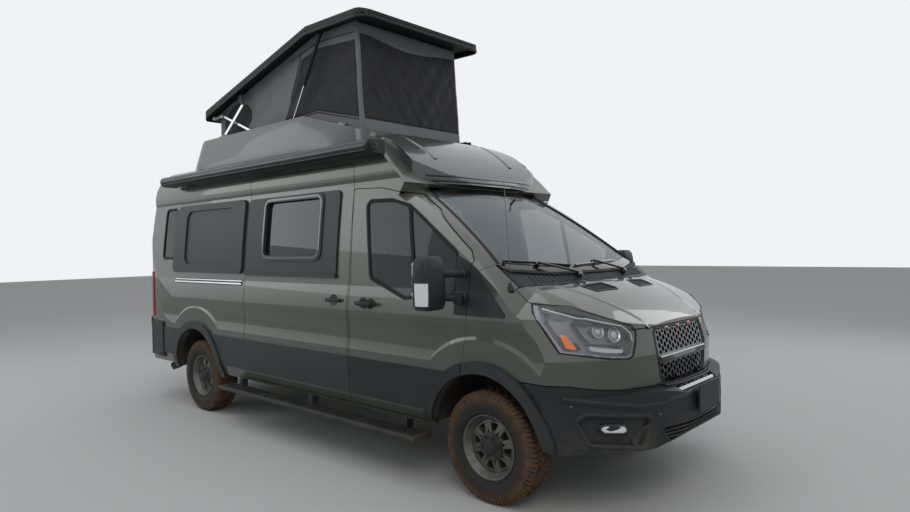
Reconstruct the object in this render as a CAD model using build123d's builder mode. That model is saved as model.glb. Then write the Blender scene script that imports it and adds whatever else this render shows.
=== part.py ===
from build123d import *

import math
import os

# A high-roof camper van with its pop-top roof raised, in millimetres.
# +Z is up, the van's nose points to -Y, its left (driver's) side is +X.
# The origin is on the ground at the middle of the van's length and width.
os.makedirs("parts", exist_ok=True)

# Driving dimensions of the whole van
LENGTH = 5980
NOSE_Y = -LENGTH / 2
CHIN_Z = 418
LEDGE_Z = 748
WAIST_Z = 950
NOSE_LEAN = 14
HALF_WIDTH = 1030
BELLY_Z = 300
SILL_Z = 430
ROOF_Z = 2585
TAIL_Y = 2965
SIDE_WALL = 50
GLASS = 5
GAP = 6
REACH = 4000

# Running gear
WHEELBASE = 3750
FRONT_AXLE_Y = -1967
REAR_AXLE_Y = FRONT_AXLE_Y + WHEELBASE
WHEEL_RADIUS = 356
WHEEL_X = 870
TYRE_WIDTH = 235
RIM_RADIUS = 210
KINGPIN_X = 790

# Wheel arches: opening and outer edge of the flare, as circles about these heights
ARCH_OPENING = 445
ARCH_FLARE = 520
FRONT_ARCH_Z = 385
REAR_ARCH_Z = 396

# Windscreen and hood: each is a side-view arc, crowned across the van
GLASS_BASE = (-2270, 1380)
GLASS_TOP = (-1205, 2087)
GLASS_RADIUS = 6800
HOOD_FRONT = (-2792, 1122)
HOOD_REAR = (-2215, 1392)
HOOD_RADIUS = 1400

# Heights of the side's bands
BAND_LOW = 530
BAND_HIGH = 810
BUMPER_TOP = 820

# Creases of the side: a shallow hollow runs between them and ends round each wheel arch
CREASE_LOW = 868
CREASE_HIGH = 1120
SCOOP = 15
HAUNCH = 655

# Depths below the outer form, and heights above it, at which pieces begin and end
SKIN = 8
GLASS_SET = 7
HOOD_SKIN = 24
FRONT_SKIN = 32
LAMP_DEPTH = 70
TRIM_PROUD = 9
POD_PROUD = 14
FLARE_PROUD = 24
BUMPER_PROUD = 18

# Side doors and windows, as (y, z) outlines
FRONT_DOOR = [(-672, 455), (-672, 1400), (-654, 2075), (-970, 2060), (-1238, 2003), (-1429, 1886),
              (-1641, 1728), (-1820, 1594), (-1880, 1525), (-1872, 1350), (-1862, 1170), (-1822, 890),
              (-1822, 455)]
DOOR_WINDOW = [(-820, 1967), (-905, 1404), (-1279, 1276), (-1735, 1315), (-1750, 1574), (-1434, 1804),
               (-1278, 1909), (-1095, 1958)]
SLIDING_DOOR = [(-652, SILL_Z + 25), (-652, 2268), (846, 2268), (846, SILL_Z + 25)]
SLIDING_WINDOW = [(-270, 1560), (-270, 2045), (540, 2045), (540, 1560)]
DOOR_POD = [(-500, 1392), (-500, 2080), (838, 2080), (838, 1392)]
QUARTER_POD = [(896, 1405), (896, 2090), (2215, 2090), (2300, 2000), (2300, 1405)]
SLIM_WINDOW = [(2335, 1550), (2335, 2070), (2580, 2070), (2590, 1550)]

# Pop-top roof: heights with the lid raised, and how far the rear hinge rail sinks
CAP_RIM_Z = 2775
CAP_FRONT_Y = -655
CAP_REAR_Y = 2125
CAP_HALF = 750
TENT_HALF = 606
LID_REAR = (2120, 3015)
LID_BEND = (230, 3493)
LID_FRONT = (-560, 3478)
LID_HALF = 735
LID_PIVOT = (2050, 3034)


def arc_centre(start, end, radius):
    """Centre of the arc that bulges up and forward from start to end, as (y, z)."""
    half = math.dist(start, end) / 2
    along = ((end[0] - start[0]) / half / 2, (end[1] - start[1]) / half / 2)
    depth = math.sqrt(radius**2 - half**2)
    middle = ((start[0] + end[0]) / 2, (start[1] + end[1]) / 2)
    return (middle[0] + along[1] * depth, middle[1] - along[0] * depth)


def band_above(start, end, radius, crown, height, overrun, inset):
    """What lies above a crowned surface whose side-view arc runs from start to end."""
    centre = arc_centre(start, end, radius)
    before, after = overrun
    first = math.atan2(start[1] - centre[1], start[0] - centre[0]) + before
    turn = 2 * math.asin(math.dist(start, end) / 2 / radius) + before + after
    out = (math.cos(first), math.sin(first))
    flat, edge, flat_drop, edge_drop = crown
    shoulder = (flat + edge) / 2
    shoulder_drop = flat_drop + (edge_drop - flat_drop) * 0.36
    plane = Plane(
        origin=(0, centre[0] + radius * out[0], centre[1] + radius * out[1]),
        x_dir=(1, 0, 0),
        z_dir=(0, -out[1], out[0]),
    )
    with BuildPart() as band:
        with BuildSketch(plane):
            with BuildLine():
                ThreePointArc((0, -inset), (flat / 2, -flat_drop / 4 - inset), (flat, -flat_drop - inset))
                ThreePointArc(
                    (flat, -flat_drop - inset),
                    (shoulder, -shoulder_drop - inset),
                    (edge, -edge_drop - inset),
                )
                Polyline((edge, -edge_drop - inset), (edge, height), (0, height), (0, -inset))
            make_face()
            mirror(about=Plane.YZ)
        revolve(axis=Axis((0, *centre), (-1, 0, 0)), revolution_arc=math.degrees(turn))
    return band.part


def cab_and_load_space(inset):
    """The form of the van behind the windscreen, its walls moved in by inset."""
    i = inset
    with BuildPart() as volume:
        with BuildSketch(Plane.XZ):
            with BuildLine():
                Polyline((0, BELLY_Z), (955 - i, BELLY_Z), (985 - i, SILL_Z), (1015 - i, 525))
                ThreePointArc((1015 - i, 525), (1027 - i, 660), (HALF_WIDTH - i, 800))
                Line((HALF_WIDTH - i, 800), (HALF_WIDTH - i, 1120))
                ThreePointArc((HALF_WIDTH - i, 1120), (1021 - i, 1235), (1000 - i, 1340))
                ThreePointArc((1000 - i, 1340), (967 - i, 1730), (920 - i, 2120))
                ThreePointArc((920 - i, 2120), (872 - i * 0.9, 2380 - i * 0.4), (740 - i * 0.6, 2500 - i))
                ThreePointArc((740 - i * 0.6, 2500 - i), (380, 2565 - i), (0, ROOF_Z - i))
                Line((0, ROOF_Z - i), (0, BELLY_Z))
            make_face()
            mirror(about=Plane.YZ)
        extrude(amount=REACH, both=True)
        with BuildSketch(Plane.YZ):
            with BuildLine():
                Polyline(
                    (GLASS_BASE[0] + i, BELLY_Z),
                    (GLASS_BASE[0] + i, GLASS_BASE[1]),
                    (-1700, 2200),
                    (GLASS_TOP[0] + 0.586 * i, GLASS_TOP[1] - 0.824 * i),
                    (-870 + 0.7 * i, 2400 - 0.7 * i),
                )
                ThreePointArc((-870 + 0.7 * i, 2400 - 0.7 * i), (-640 + i / 2, 2530 - i), (-330, 2590 - i))
                Line((-330, 2590 - i), (2640, 2590 - i))
                ThreePointArc((2640, 2590 - i), (2800 - i, 2545 - i), (2862 - i, 2440 - i))
                Polyline(
                    (2862 - i, 2440 - i),
                    (2955 - i, 1100),
                    (TAIL_Y - i, BELLY_Z),
                    (GLASS_BASE[0] + i, BELLY_Z),
                )
            make_face()
        extrude(amount=REACH, both=True, mode=Mode.INTERSECT)
        with BuildSketch(Plane.XY.offset(BELLY_Z)):
            with BuildLine():
                Polyline((0, -2400), (1040 - i, -2400), (1040 - i, 2300), (1030 - i, 2300))
                ThreePointArc((1030 - i, 2300), (1012 - i, 2600), (985 - i, 2840))
                ThreePointArc((985 - i, 2840), (950 - i, 2925 - i), (870 - i, 2958 - i))
                ThreePointArc((870 - i, 2958 - i), (440, 2970 - i), (0, 2972 - i))
                Line((0, 2972 - i), (0, -2400))
            make_face()
            mirror(about=Plane.YZ)
        extrude(amount=ROOF_Z, mode=Mode.INTERSECT)
        crown = (840, 1100, 71, 215)
        add(
            band_above(GLASS_BASE, GLASS_TOP, GLASS_RADIUS, crown, 1500, (0.02, 0.0), i),
            mode=Mode.SUBTRACT,
        )
    return volume.part


def nose_plan(inset):
    """The nose seen from above: the bumper, and over it a narrower front that leans back above its waist."""
    i = inset
    with BuildPart() as plan:
        with BuildSketch(Plane.XY.offset(BELLY_Z)):
            with BuildLine():
                ThreePointArc((0, -2962 + i), (300, -2929 + i), (600, -2830 + i))
                ThreePointArc((600, -2830 + i), (880 - i * 0.7, -2610 + i * 0.7), (1020 - i, -2300))
                Polyline((1020 - i, -2300), (1040 - i, -2000), (1040 - i, -1500), (0, -1500), (0, -2962 + i))
            make_face()
            mirror(about=Plane.YZ)
        extrude(amount=LEDGE_Z - i - BELLY_Z)
        with BuildSketch(Plane.XY.offset(WAIST_Z)) as front:
            with BuildLine():
                ThreePointArc((0, -2852 + i), (290, -2830 + i), (560, -2768 + i))
                ThreePointArc((560, -2768 + i), (868 - i * 0.7, -2612 + i * 0.7), (1100 - i, -2250))
                Polyline((1100 - i, -2250), (1250 - i, -1900), (1250 - i, -1500), (0, -1500), (0, -2852 + i))
            make_face()
            mirror(about=Plane.YZ)
        extrude(amount=BELLY_Z - WAIST_Z)
        extrude(front.sketch, amount=1500 - WAIST_Z, taper=NOSE_LEAN)
    return plan.part


def nose(inset):
    """The form of the van ahead of the windscreen, its walls moved in by inset."""
    i = inset
    with BuildPart() as volume:
        with BuildSketch(Plane.XZ):
            with BuildLine():
                Polyline((0, BELLY_Z), (930 - i, BELLY_Z), (985 - i, SILL_Z), (1015 - i, 525))
                ThreePointArc((1015 - i, 525), (1027 - i, 660), (HALF_WIDTH - i, 800))
                Line((HALF_WIDTH - i, 800), (HALF_WIDTH - i, 1120))
                ThreePointArc((HALF_WIDTH - i, 1120), (1021 - i, 1235), (1000 - i, 1340))
                Polyline((1000 - i, 1340), (985 - i, 1500), (0, 1500), (0, BELLY_Z))
            make_face()
            mirror(about=Plane.YZ)
        extrude(amount=REACH, both=True)
        with BuildSketch(Plane.YZ):
            with BuildLine():
                Polyline((-1500, BELLY_Z), (-2780 + i, BELLY_Z), (-2870 + i, CHIN_Z), (-2930 + i, 465))
                ThreePointArc((-2930 + i, 465), (-2962 + i, 580), (-2948 + i, 690))
                ThreePointArc((-2948 + i, 690), (-2925 + i, 728), (-2852 + i, 748))
                ThreePointArc((-2852 + i, 748), (-2822 + i, 940), (-2784 + i, 1110))
                Polyline((-2784 + i, 1110), (-2740 + i, 1500), (-1500, 1500), (-1500, BELLY_Z))
            make_face()
        extrude(amount=REACH, both=True, mode=Mode.INTERSECT)
        add(nose_plan(i), mode=Mode.INTERSECT)
        crown = (760, 1080, 42, 230)
        add(
            band_above(HOOD_FRONT, HOOD_REAR, HOOD_RADIUS, crown, 700, (0.3, 0.3), i),
            mode=Mode.SUBTRACT,
        )
    return volume.part


def side_scoop(inset):
    """The hollow between the creases of the left side; it fades out round the wheel arches."""
    x = HALF_WIDTH - inset
    with BuildPart() as scoop:
        with BuildSketch(Plane.XZ.offset(2600)):
            with BuildLine():
                ThreePointArc((x, CREASE_LOW), (x - SCOOP, (CREASE_LOW + CREASE_HIGH) / 2), (x, CREASE_HIGH))
                Polyline((x, CREASE_HIGH), (x + 60, CREASE_HIGH), (x + 60, CREASE_LOW), (x, CREASE_LOW))
            make_face()
        extrude(amount=-5300)
        for y, z in ARCHES:
            with BuildSketch(Plane.YZ.offset(x - 30)):
                with Locations((y, z)):
                    Circle(HAUNCH + 50)
            extrude(amount=100, taper=60, mode=Mode.SUBTRACT)
    return scoop.part


def van_volume(inset):
    """The whole closed form of the van, its walls moved in by inset."""
    scoop = side_scoop(inset)
    with BuildPart() as volume:
        add(nose(inset))
        add(cab_and_load_space(inset))
        add(scoop, mode=Mode.SUBTRACT)
        add(mirror(scoop, about=Plane.YZ), mode=Mode.SUBTRACT)
    return volume.part


def side_prism(points, radius, x_from, x_to, grow=0):
    """A block that crosses the van's side; its outline is (y, z) points with rounded corners."""
    with BuildPart() as prism:
        with BuildSketch(Plane.YZ.offset(x_from)):
            with BuildLine():
                FilletPolyline(*points, radius=radius, close=True)
            make_face()
            if grow:
                offset(amount=grow)
        extrude(amount=x_to - x_from)
    return prism.part


def front_prism(points, radius, y_from, y_to, grow=0):
    """A block along the van; its outline is (x, z) points with rounded corners."""
    with BuildPart() as prism:
        with BuildSketch(Plane.XZ.offset(-y_from)):
            with BuildLine():
                FilletPolyline(*points, radius=radius, close=True)
            make_face()
            if grow:
                offset(amount=grow)
        extrude(amount=y_from - y_to)
    return prism.part


def top_prism(points, radius, z_from, z_to, grow=0):
    """An upright block; its outline is (x, y) points with rounded corners."""
    with BuildPart() as prism:
        with BuildSketch(Plane.XY.offset(z_from)):
            with BuildLine():
                FilletPolyline(*points, radius=radius, close=True)
            make_face()
            if grow:
                offset(amount=grow)
        extrude(amount=z_to - z_from)
    return prism.part


def axle_disc(y, z, radius, x_from, x_to):
    """A round block across the van, for wheel arches and hubs."""
    with BuildPart() as disc:
        with BuildSketch(Plane.YZ.offset(x_from)):
            with Locations((y, z)):
                Circle(radius)
        extrude(amount=x_to - x_from)
    return disc.part


def save(block, label):
    """Names a finished piece and writes it."""
    block.part.label = label
    export_step(block.part, f"parts/{label}.step")


def box(x_from, x_to, y_from, y_to, z_from, z_to):
    """A plain block between two corners, kept out of any part being made."""
    block = Box(x_to - x_from, y_to - y_from, z_to - z_from, mode=Mode.PRIVATE)
    return Pos((x_from + x_to) / 2, (y_from + y_to) / 2, (z_from + z_to) / 2) * block


ARCHES = [(FRONT_AXLE_Y, FRONT_ARCH_Z), (REAR_AXLE_Y, REAR_ARCH_Z)]
SIDES = {"left": 1, "right": -1}

outer = van_volume(0)
skin_inner = van_volume(SKIN)
inner = van_volume(SIDE_WALL)
glass_outer = van_volume(GLASS_SET)
glass_inner = van_volume(GLASS_SET + GLASS)
hood_inner = van_volume(HOOD_SKIN)
front_inner = van_volume(FRONT_SKIN)
wall = outer - inner
skin = outer - skin_inner
lining = skin_inner - inner
pane = glass_outer - glass_inner
trim_outer = van_volume(-TRIM_PROUD)

# Blocks that cut the wheel arches through both sides
with BuildPart() as arch_cuts:
    for y, z in ARCHES:
        add(axle_disc(y, z, ARCH_OPENING, -1200, 1200))
        add(box(-1200, 1200, y - ARCH_OPENING, y + ARCH_OPENING, z - 400, z))

# Everything ahead of this line belongs to hood, front panels, lamps and bumper
NOSE_LINE = [(-3100, 200), (-3100, 1700), (-2380, 1700), (-2300, 1412), (-1978, 1500), (-1925, 1450),
             (-1872, 1350), (-1862, 1170), (-1822, 890), (-1822, 200)]
nose_block = side_prism(NOSE_LINE, 1, -1200, 1200)

HOOD_LIP_Z = 1110


def hood_prism(grow):
    """The hood's outline seen from above, as an upright block."""
    with BuildPart() as prism:
        with BuildSketch(Plane.XY.offset(HOOD_LIP_Z - grow)):
            with BuildLine():
                ThreePointArc((-900, -2160), (0, -2289), (900, -2160))
                Line((900, -2160), (905, -2270))
                ThreePointArc((905, -2270), (775, -2530), (531, -2732))
                ThreePointArc((531, -2732), (0, -2830), (-531, -2732))
                ThreePointArc((-531, -2732), (-775, -2530), (-905, -2270))
                Line((-905, -2270), (-900, -2160))
            make_face()
            if grow:
                offset(amount=grow)
        extrude(amount=500)
    return prism.part


hood_block = hood_prism(0)
hood_hole = hood_prism(GAP)

# Front lamps, grille and bumper outlines seen from the front; the lamps' rear ends seen from the side
LAMP_FACE = [(612, 946), (570, 960), (528, 1030), (506, 1093), (514, 1180), (755, 1270), (950, 1320),
             (1100, 1350), (1100, 1014), (958, 999), (861, 979), (754, 958)]
LAMP_SIDE = [(-3100, 900), (-3100, 1400), (-2150, 1400), (-2276, 1272), (-2381, 1169), (-2505, 992), (-2560, 900)]


def lamp_pair(grow):
    """The two lamps' outlines as blocks that run back from the nose."""
    with BuildPart() as pair:
        for sign in SIDES.values():
            face = [(sign * x, z) for x, z in LAMP_FACE]
            add(front_prism(face, 16, -3100, -2240, grow))
        add(side_prism(LAMP_SIDE, 16, -1200, 1200, grow), mode=Mode.INTERSECT)
    return pair.part


lamp_blocks = lamp_pair(0)
lamp_holes = lamp_pair(4)
GRILLE_FACE = [(-262, 722), (-342, 800), (-374, 960), (-364, 1076), (-336, HOOD_LIP_Z), (336, HOOD_LIP_Z),
               (364, 1076), (374, 960), (342, 800), (262, 722)]
grille_block = front_prism(GRILLE_FACE, 14, -3100, -2700)
grille_hole = front_prism(GRILLE_FACE, 14, -3100, -2700, 4)
BUMPER_SIDE = [(-3100, 200), (-3100, 745), (-2840, 753), (-2711, 770), (-2550, 806), (-2350, 814), (-2240, 814),
               (-2240, 200)]
flare_discs = axle_disc(FRONT_AXLE_Y, FRONT_ARCH_Z, ARCH_FLARE, -1200, 1200)
flare_holes = axle_disc(FRONT_AXLE_Y, FRONT_ARCH_Z, ARCH_FLARE + GAP, -1200, 1200)
bumper_block = side_prism(BUMPER_SIDE, 1, -1200, 1200) - flare_holes
bumper_hole = side_prism(BUMPER_SIDE, 1, -1200, 1200, GAP) - flare_discs

# Cowl: the strip between the hood's rear edge and the glass, seen from the front
WINDSCREEN = [(-862, 1470), (-668, 2070), (668, 2070), (862, 1470), (500, 1438), (-500, 1438)]
COWL_FACE = [(-872, 1280), (-872, 1464), (-500, 1432), (500, 1432), (872, 1464), (872, 1280)]
cowl_hole = front_prism(COWL_FACE, 4, -2400, -2000, 2)
front_wall = outer - front_inner

with BuildPart() as cowl:
    add(outer - hood_inner)
    add(front_prism(COWL_FACE, 4, -2400, -2000), mode=Mode.INTERSECT)
    add(hood_hole, mode=Mode.SUBTRACT)
    add(box(-1000, 1000, -2500, -2000, 200, 1340), mode=Mode.SUBTRACT)
save(cowl, "cowl")

# Hood, with two vents near its rear edge
HOOD_VENT = [(148, -2442), (398, -2420), (430, -2328), (190, -2338)]
with BuildPart() as hood:
    add(outer - hood_inner)
    add(hood_block, mode=Mode.INTERSECT)
    for sign in SIDES.values():
        vent = [(sign * x, y) for x, y in HOOD_VENT]
        add(top_prism(vent, 8, 1090, 1500), mode=Mode.SUBTRACT)
save(hood, "hood")

# Painted wings and the panel between the lamps
with BuildPart() as front_panels:
    add(front_wall)
    add(nose_block, mode=Mode.INTERSECT)
    add(hood_hole, mode=Mode.SUBTRACT)
    add(lamp_holes, mode=Mode.SUBTRACT)
    add(grille_hole, mode=Mode.SUBTRACT)
    add(bumper_hole, mode=Mode.SUBTRACT)
    add(arch_cuts.part, mode=Mode.SUBTRACT)
    add(box(-1200, 1200, -3200, -1000, 200, SILL_Z), mode=Mode.SUBTRACT)
    add(box(-880, 880, -2400, -1000, 1200, 1600), mode=Mode.SUBTRACT)
    add(cowl_hole, mode=Mode.SUBTRACT)
save(front_panels, "front_panels")

# Bumper: a moulding with a recess for each fog lamp, a slotted intake and a plate bracket
FOG_RECESS = [(548, 568), (562, 604), (868, 634), (900, 604), (855, 478), (592, 447)]
FOG_LAMP = [(688, 548), (706, 580), (806, 588), (826, 566), (806, 538), (712, 530)]
INTAKE = [(-400, 448), (-470, 530), (470, 530), (400, 448)]
INTAKE_BARS = (468, 489, 510)
BRACKET = (155, 572, 742)
BRACKET_POST_X = 95
bumper_pocket = outer - hood_inner
with BuildPart() as front_bumper:
    add(front_wall)
    add(bumper_block, mode=Mode.INTERSECT)
    add(grille_hole, mode=Mode.SUBTRACT)
    add(arch_cuts.part, mode=Mode.SUBTRACT)
    for sign in SIDES.values():
        recess = front_prism([(sign * x, z) for x, z in FOG_RECESS], 14, -3100, -2300)
        lamp = front_prism([(sign * x, z) for x, z in FOG_LAMP], 14, -3100, -2300)
        add((bumper_pocket & recess) - lamp, mode=Mode.SUBTRACT)
    slots = front_prism(INTAKE, 20, -3100, -2700)
    for z in INTAKE_BARS:
        slots = slots - box(-600, 600, -3100, -2600, z - 5, z + 5)
    add(bumper_pocket & slots, mode=Mode.SUBTRACT)
    add(box(-1200, 1200, -3200, -1500, 200, CHIN_Z), mode=Mode.SUBTRACT)
    for x in (-BRACKET_POST_X, BRACKET_POST_X):
        add(box(x - 14, x + 14, NOSE_Y + 7, -2940, 590, 700))
    add(box(-BRACKET[0], BRACKET[0], NOSE_Y, NOSE_Y + 8, *BRACKET[1:]))
save(front_bumper, "front_bumper")

# Grille: a frame and a centre bar round two fields of honeycomb
HONEYCOMB = [
    [(-344, 940), (-336, 1062), (-322, 1078), (322, 1078), (336, 1062), (344, 940)],
    [(-340, 880), (-318, 808), (-252, 752), (252, 752), (318, 808), (340, 880)],
]
CENTRE_BAR = [(-352, 888), (-352, 932), (352, 932), (352, 888)]
CELL = 22
CELL_WALL = 6
with BuildPart() as honeycomb:
    for field in HONEYCOMB:
        with BuildSketch(Plane.XZ.offset(2700)):
            with Locations((0, (field[0][1] + field[1][1]) / 2)):
                with HexLocations(CELL, 17, 5):
                    RegularPolygon(CELL - CELL_WALL / 2, 6)
            with BuildLine():
                FilletPolyline(*field, radius=12, close=True)
            make_face(mode=Mode.INTERSECT)
        extrude(amount=400)
with BuildPart() as grille:
    add(glass_inner - inner)
    add(grille_block, mode=Mode.INTERSECT)
    add(hood_hole, mode=Mode.SUBTRACT)
    add(honeycomb.part, mode=Mode.SUBTRACT)
    add((outer - glass_inner) & front_prism(CENTRE_BAR, 10, -3100, -2700))
save(grille, "grille")

# Front lamps: a deep bowl behind a clear cover, with two lamp barrels in it
LAMP_RIM = 15
BARRELS = [(650, 1086, 34), (742, 1110, 34)]
lamp_back = van_volume(LAMP_DEPTH)
bowl_depth = glass_outer - inner
bowl_blocks = lamp_pair(-LAMP_RIM)
with BuildPart() as front_lamps:
    add(glass_outer - lamp_back)
    add(lamp_blocks, mode=Mode.INTERSECT)
    for sign in SIDES.values():
        side_block = box(*sorted((0, sign * 1200)), -3100, -2000, 800, 1500)
        bowl = bowl_depth & bowl_blocks & side_block
        with BuildPart() as barrels:
            for x, z, radius in BARRELS:
                with BuildSketch(Plane.XZ.offset(2300)):
                    with Locations((sign * x, z)):
                        Circle(radius)
                extrude(amount=700)
            add(hood_inner, mode=Mode.INTERSECT)
        add(bowl - barrels.part, mode=Mode.SUBTRACT)
    add(hood_hole, mode=Mode.SUBTRACT)
save(front_lamps, "front_lamps")

with BuildPart() as lamp_covers:
    add(outer - glass_outer)
    add(lamp_blocks, mode=Mode.INTERSECT)
    add(hood_hole, mode=Mode.SUBTRACT)
save(lamp_covers, "lamp_covers")

# Side doors: a skin that closes on the body's edge, and a narrower inner frame
def side_door(outline, window, sign, corner):
    """One side door as thick as the wall, with its window cut."""
    near, far = (500, 1200) if sign > 0 else (-1200, -500)
    with BuildPart() as door:
        add(skin)
        add(side_prism(outline, corner, near, far, -GAP / 2), mode=Mode.INTERSECT)
        add(lining & side_prism(outline, corner, near, far, -16))
        add(side_prism(window, 45, near, far), mode=Mode.SUBTRACT)
        add(arch_cuts.part, mode=Mode.SUBTRACT)
    return door


def side_pane(window, sign):
    """Glass that fills a side window, following the body's curve."""
    near, far = (500, 1200) if sign > 0 else (-1200, -500)
    return pane & side_prism(window, 45, near, far, -0.5)


for side, sign in SIDES.items():
    door = side_door(FRONT_DOOR, DOOR_WINDOW, sign, 20)
    save(door, f"front_door_{side}")
    with BuildPart() as door_glass:
        add(side_pane(DOOR_WINDOW, sign))
    save(door_glass, f"front_door_glass_{side}")

sliding_door = side_door(SLIDING_DOOR, SLIDING_WINDOW, -1, 30)
save(sliding_door, "sliding_door")

# Rear doors and their windows, as (x, z) outlines of the left one
REAR_DOOR = [(3, 640), (3, 2330), (800, 2330), (835, 2200), (898, 1400), (898, 640)]
REAR_WINDOW = [(110, 1450), (110, 2060), (720, 2060), (790, 1450)]
REAR_HINGE_RADIUS = 10
REAR_HINGE_LEAN = (-0.0438, -0.0498)
REAR_HINGES = [(958, 2976, 855), (931.7, 2946.1, 1455), (900, 2910, 2180)]


def hinge_plane(x, y, z, sign, along=0):
    """Where a rear hinge barrel sits on its leaning axis, some way along from the hinge's middle."""
    lean_x, lean_y = REAR_HINGE_LEAN
    place = (sign * (x + lean_x * along), y + lean_y * along, z + along)
    return Plane(origin=place, z_dir=(sign * lean_x, lean_y, 1))


for side, sign in SIDES.items():
    outline = [(sign * x, z) for x, z in REAR_DOOR]
    opening = [(sign * x, z) for x, z in REAR_WINDOW]
    with BuildPart() as rear_door:
        add(skin)
        add(front_prism(outline, 25, 2700, 3100, -GAP / 2 + 3), mode=Mode.INTERSECT)
        add(lining & front_prism(outline, 25, 2780, 3100, -14))
        add(front_prism(opening, 45, 2700, 3100), mode=Mode.SUBTRACT)
        add(box(-1100, 1100, 2600, 2820, 300, 2000), mode=Mode.SUBTRACT)
        for x, y, z in REAR_HINGES:
            foot = sorted((sign * (x - 150), sign * (x - 80)))
            leaf = sorted((sign * (x - 150), sign * x))
            add(box(*foot, y - 60, y + 8, z - 14, z + 14) - outer)
            add(box(*leaf, y - 14, y + 8, z - 14, z + 14) - trim_outer)
            with Locations(hinge_plane(x, y, z, sign)):
                Cylinder(REAR_HINGE_RADIUS, 44)
    save(rear_door, f"rear_door_{side}")
    with BuildPart() as rear_glass:
        add(pane)
        add(front_prism(opening, 45, 2700, 3100, -0.5), mode=Mode.INTERSECT)
    save(rear_glass, f"rear_door_glass_{side}")

# Windscreen, seen from the front
screen_block = front_prism(WINDSCREEN, 30, -2400, -900, -0.5)
screen_hole = front_prism(WINDSCREEN, 30, -2400, -900)
with BuildPart() as windscreen:
    add(pane)
    add(screen_block, mode=Mode.INTERSECT)
save(windscreen, "windscreen")

# Tail lamps: upright, wrapped round the rear corners
with BuildPart() as tail_lamp_blocks:
    for sign in SIDES.values():
        add(box(min(sign * 912, sign * 1060), max(sign * 912, sign * 1060), 2835, 3060, 905, 1400))
with BuildPart() as tail_lamps:
    add(trim_outer - hood_inner)
    add(tail_lamp_blocks.part, mode=Mode.INTERSECT)
save(tail_lamps, "tail_lamps")
tail_lamp_hole = (outer - hood_inner) & offset(tail_lamp_blocks.part, amount=2, kind=Kind.INTERSECTION)

# Body shell: sides, roof, pillars and rear frame in one
ROOF_HATCH = (540, 200, 1850)
with BuildPart() as body_shell:
    add(wall)
    for near, far in ((600, 930), (-930, -600)):
        add(box(near, far, -1300, -1140, 1975, 2110) & outer)
    add(box(-1200, 1200, -3200, 3200, 200, SILL_Z), mode=Mode.SUBTRACT)
    add(side_prism(NOSE_LINE, 1, -1200, 1200, GAP / 2), mode=Mode.SUBTRACT)
    add(screen_hole, mode=Mode.SUBTRACT)
    add(cowl_hole, mode=Mode.SUBTRACT)
    add(tail_lamp_hole, mode=Mode.SUBTRACT)
    for sign in SIDES.values():
        near, far = (500, 1200) if sign > 0 else (-1200, -500)
        add(side_prism(FRONT_DOOR, 20, near, far, GAP / 2), mode=Mode.SUBTRACT)
        add(side_prism(SLIM_WINDOW, 40, near, far), mode=Mode.SUBTRACT)
    add(side_prism(SLIDING_DOOR, 30, -1200, -500, GAP / 2), mode=Mode.SUBTRACT)
    add(side_prism(SLIDING_WINDOW, 45, 500, 1200), mode=Mode.SUBTRACT)
    for sign in SIDES.values():
        outline = [(sign * x, z) for x, z in REAR_DOOR]
        outline[0] = (0, 640)
        outline[1] = (0, 2330)
        add(front_prism(outline, 1, 2780, 3100, 3), mode=Mode.SUBTRACT)
    for sign in SIDES.values():
        for x, y, z in REAR_HINGES:
            for end in (-33, 33):
                add(box(sign * x - 8, sign * x + 8, 2790, y, z + end - 10, z + end + 10) - inner)
                with Locations(hinge_plane(x, y, z, sign, end)):
                    Cylinder(REAR_HINGE_RADIUS, 20)
    add(arch_cuts.part, mode=Mode.SUBTRACT)
    add(box(-ROOF_HATCH[0], ROOF_HATCH[0], ROOF_HATCH[1], ROOF_HATCH[2], 2400, 2700), mode=Mode.SUBTRACT)
save(body_shell, "body_shell")

with BuildPart() as side_glass:
    add(side_pane(SLIDING_WINDOW, 1))
    add(side_pane(SLIDING_WINDOW, -1))
    add(side_pane(SLIM_WINDOW, 1))
    add(side_pane(SLIM_WINDOW, -1))
save(side_glass, "side_glass")


def side_range(sign):
    """How far a block that crosses one side reaches across the van."""
    return (500, 1250) if sign > 0 else (-1250, -500)


def flare_ring(y, z, sign):
    """The rim of a wheel arch, down to the height of the hub."""
    near, far = side_range(sign)
    with BuildPart() as ring:
        add(axle_disc(y, z, ARCH_FLARE, near, far))
        add(axle_disc(y, z, ARCH_OPENING, near, far), mode=Mode.SUBTRACT)
        add(box(near, far, y - REACH, y + REACH, z - 600, z), mode=Mode.SUBTRACT)
    return ring.part


flare_outer = van_volume(-FLARE_PROUD)
proud_trim = trim_outer - outer
proud_flare = flare_outer - outer
proud_pod = van_volume(-POD_PROUD) - outer
BAND = [(-1800, BAND_LOW), (-1800, BAND_HIGH), (2520, BAND_HIGH), (2520, BAND_LOW)]
SAIL = [(-1755, 1570), (-1882, 1500), (-2180, 1185), (-1755, 1185)]
POD_LEDGE = [(-500, 1392), (-500, 1424), (838, 1424), (838, 1392)]
QUARTER_RECESS = [(1080, 1490), (1080, 2030), (2045, 2030), (2045, 1490)]
rings = {sign: [flare_ring(y, z, sign) for y, z in ARCHES] for sign in SIDES.values()}

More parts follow.
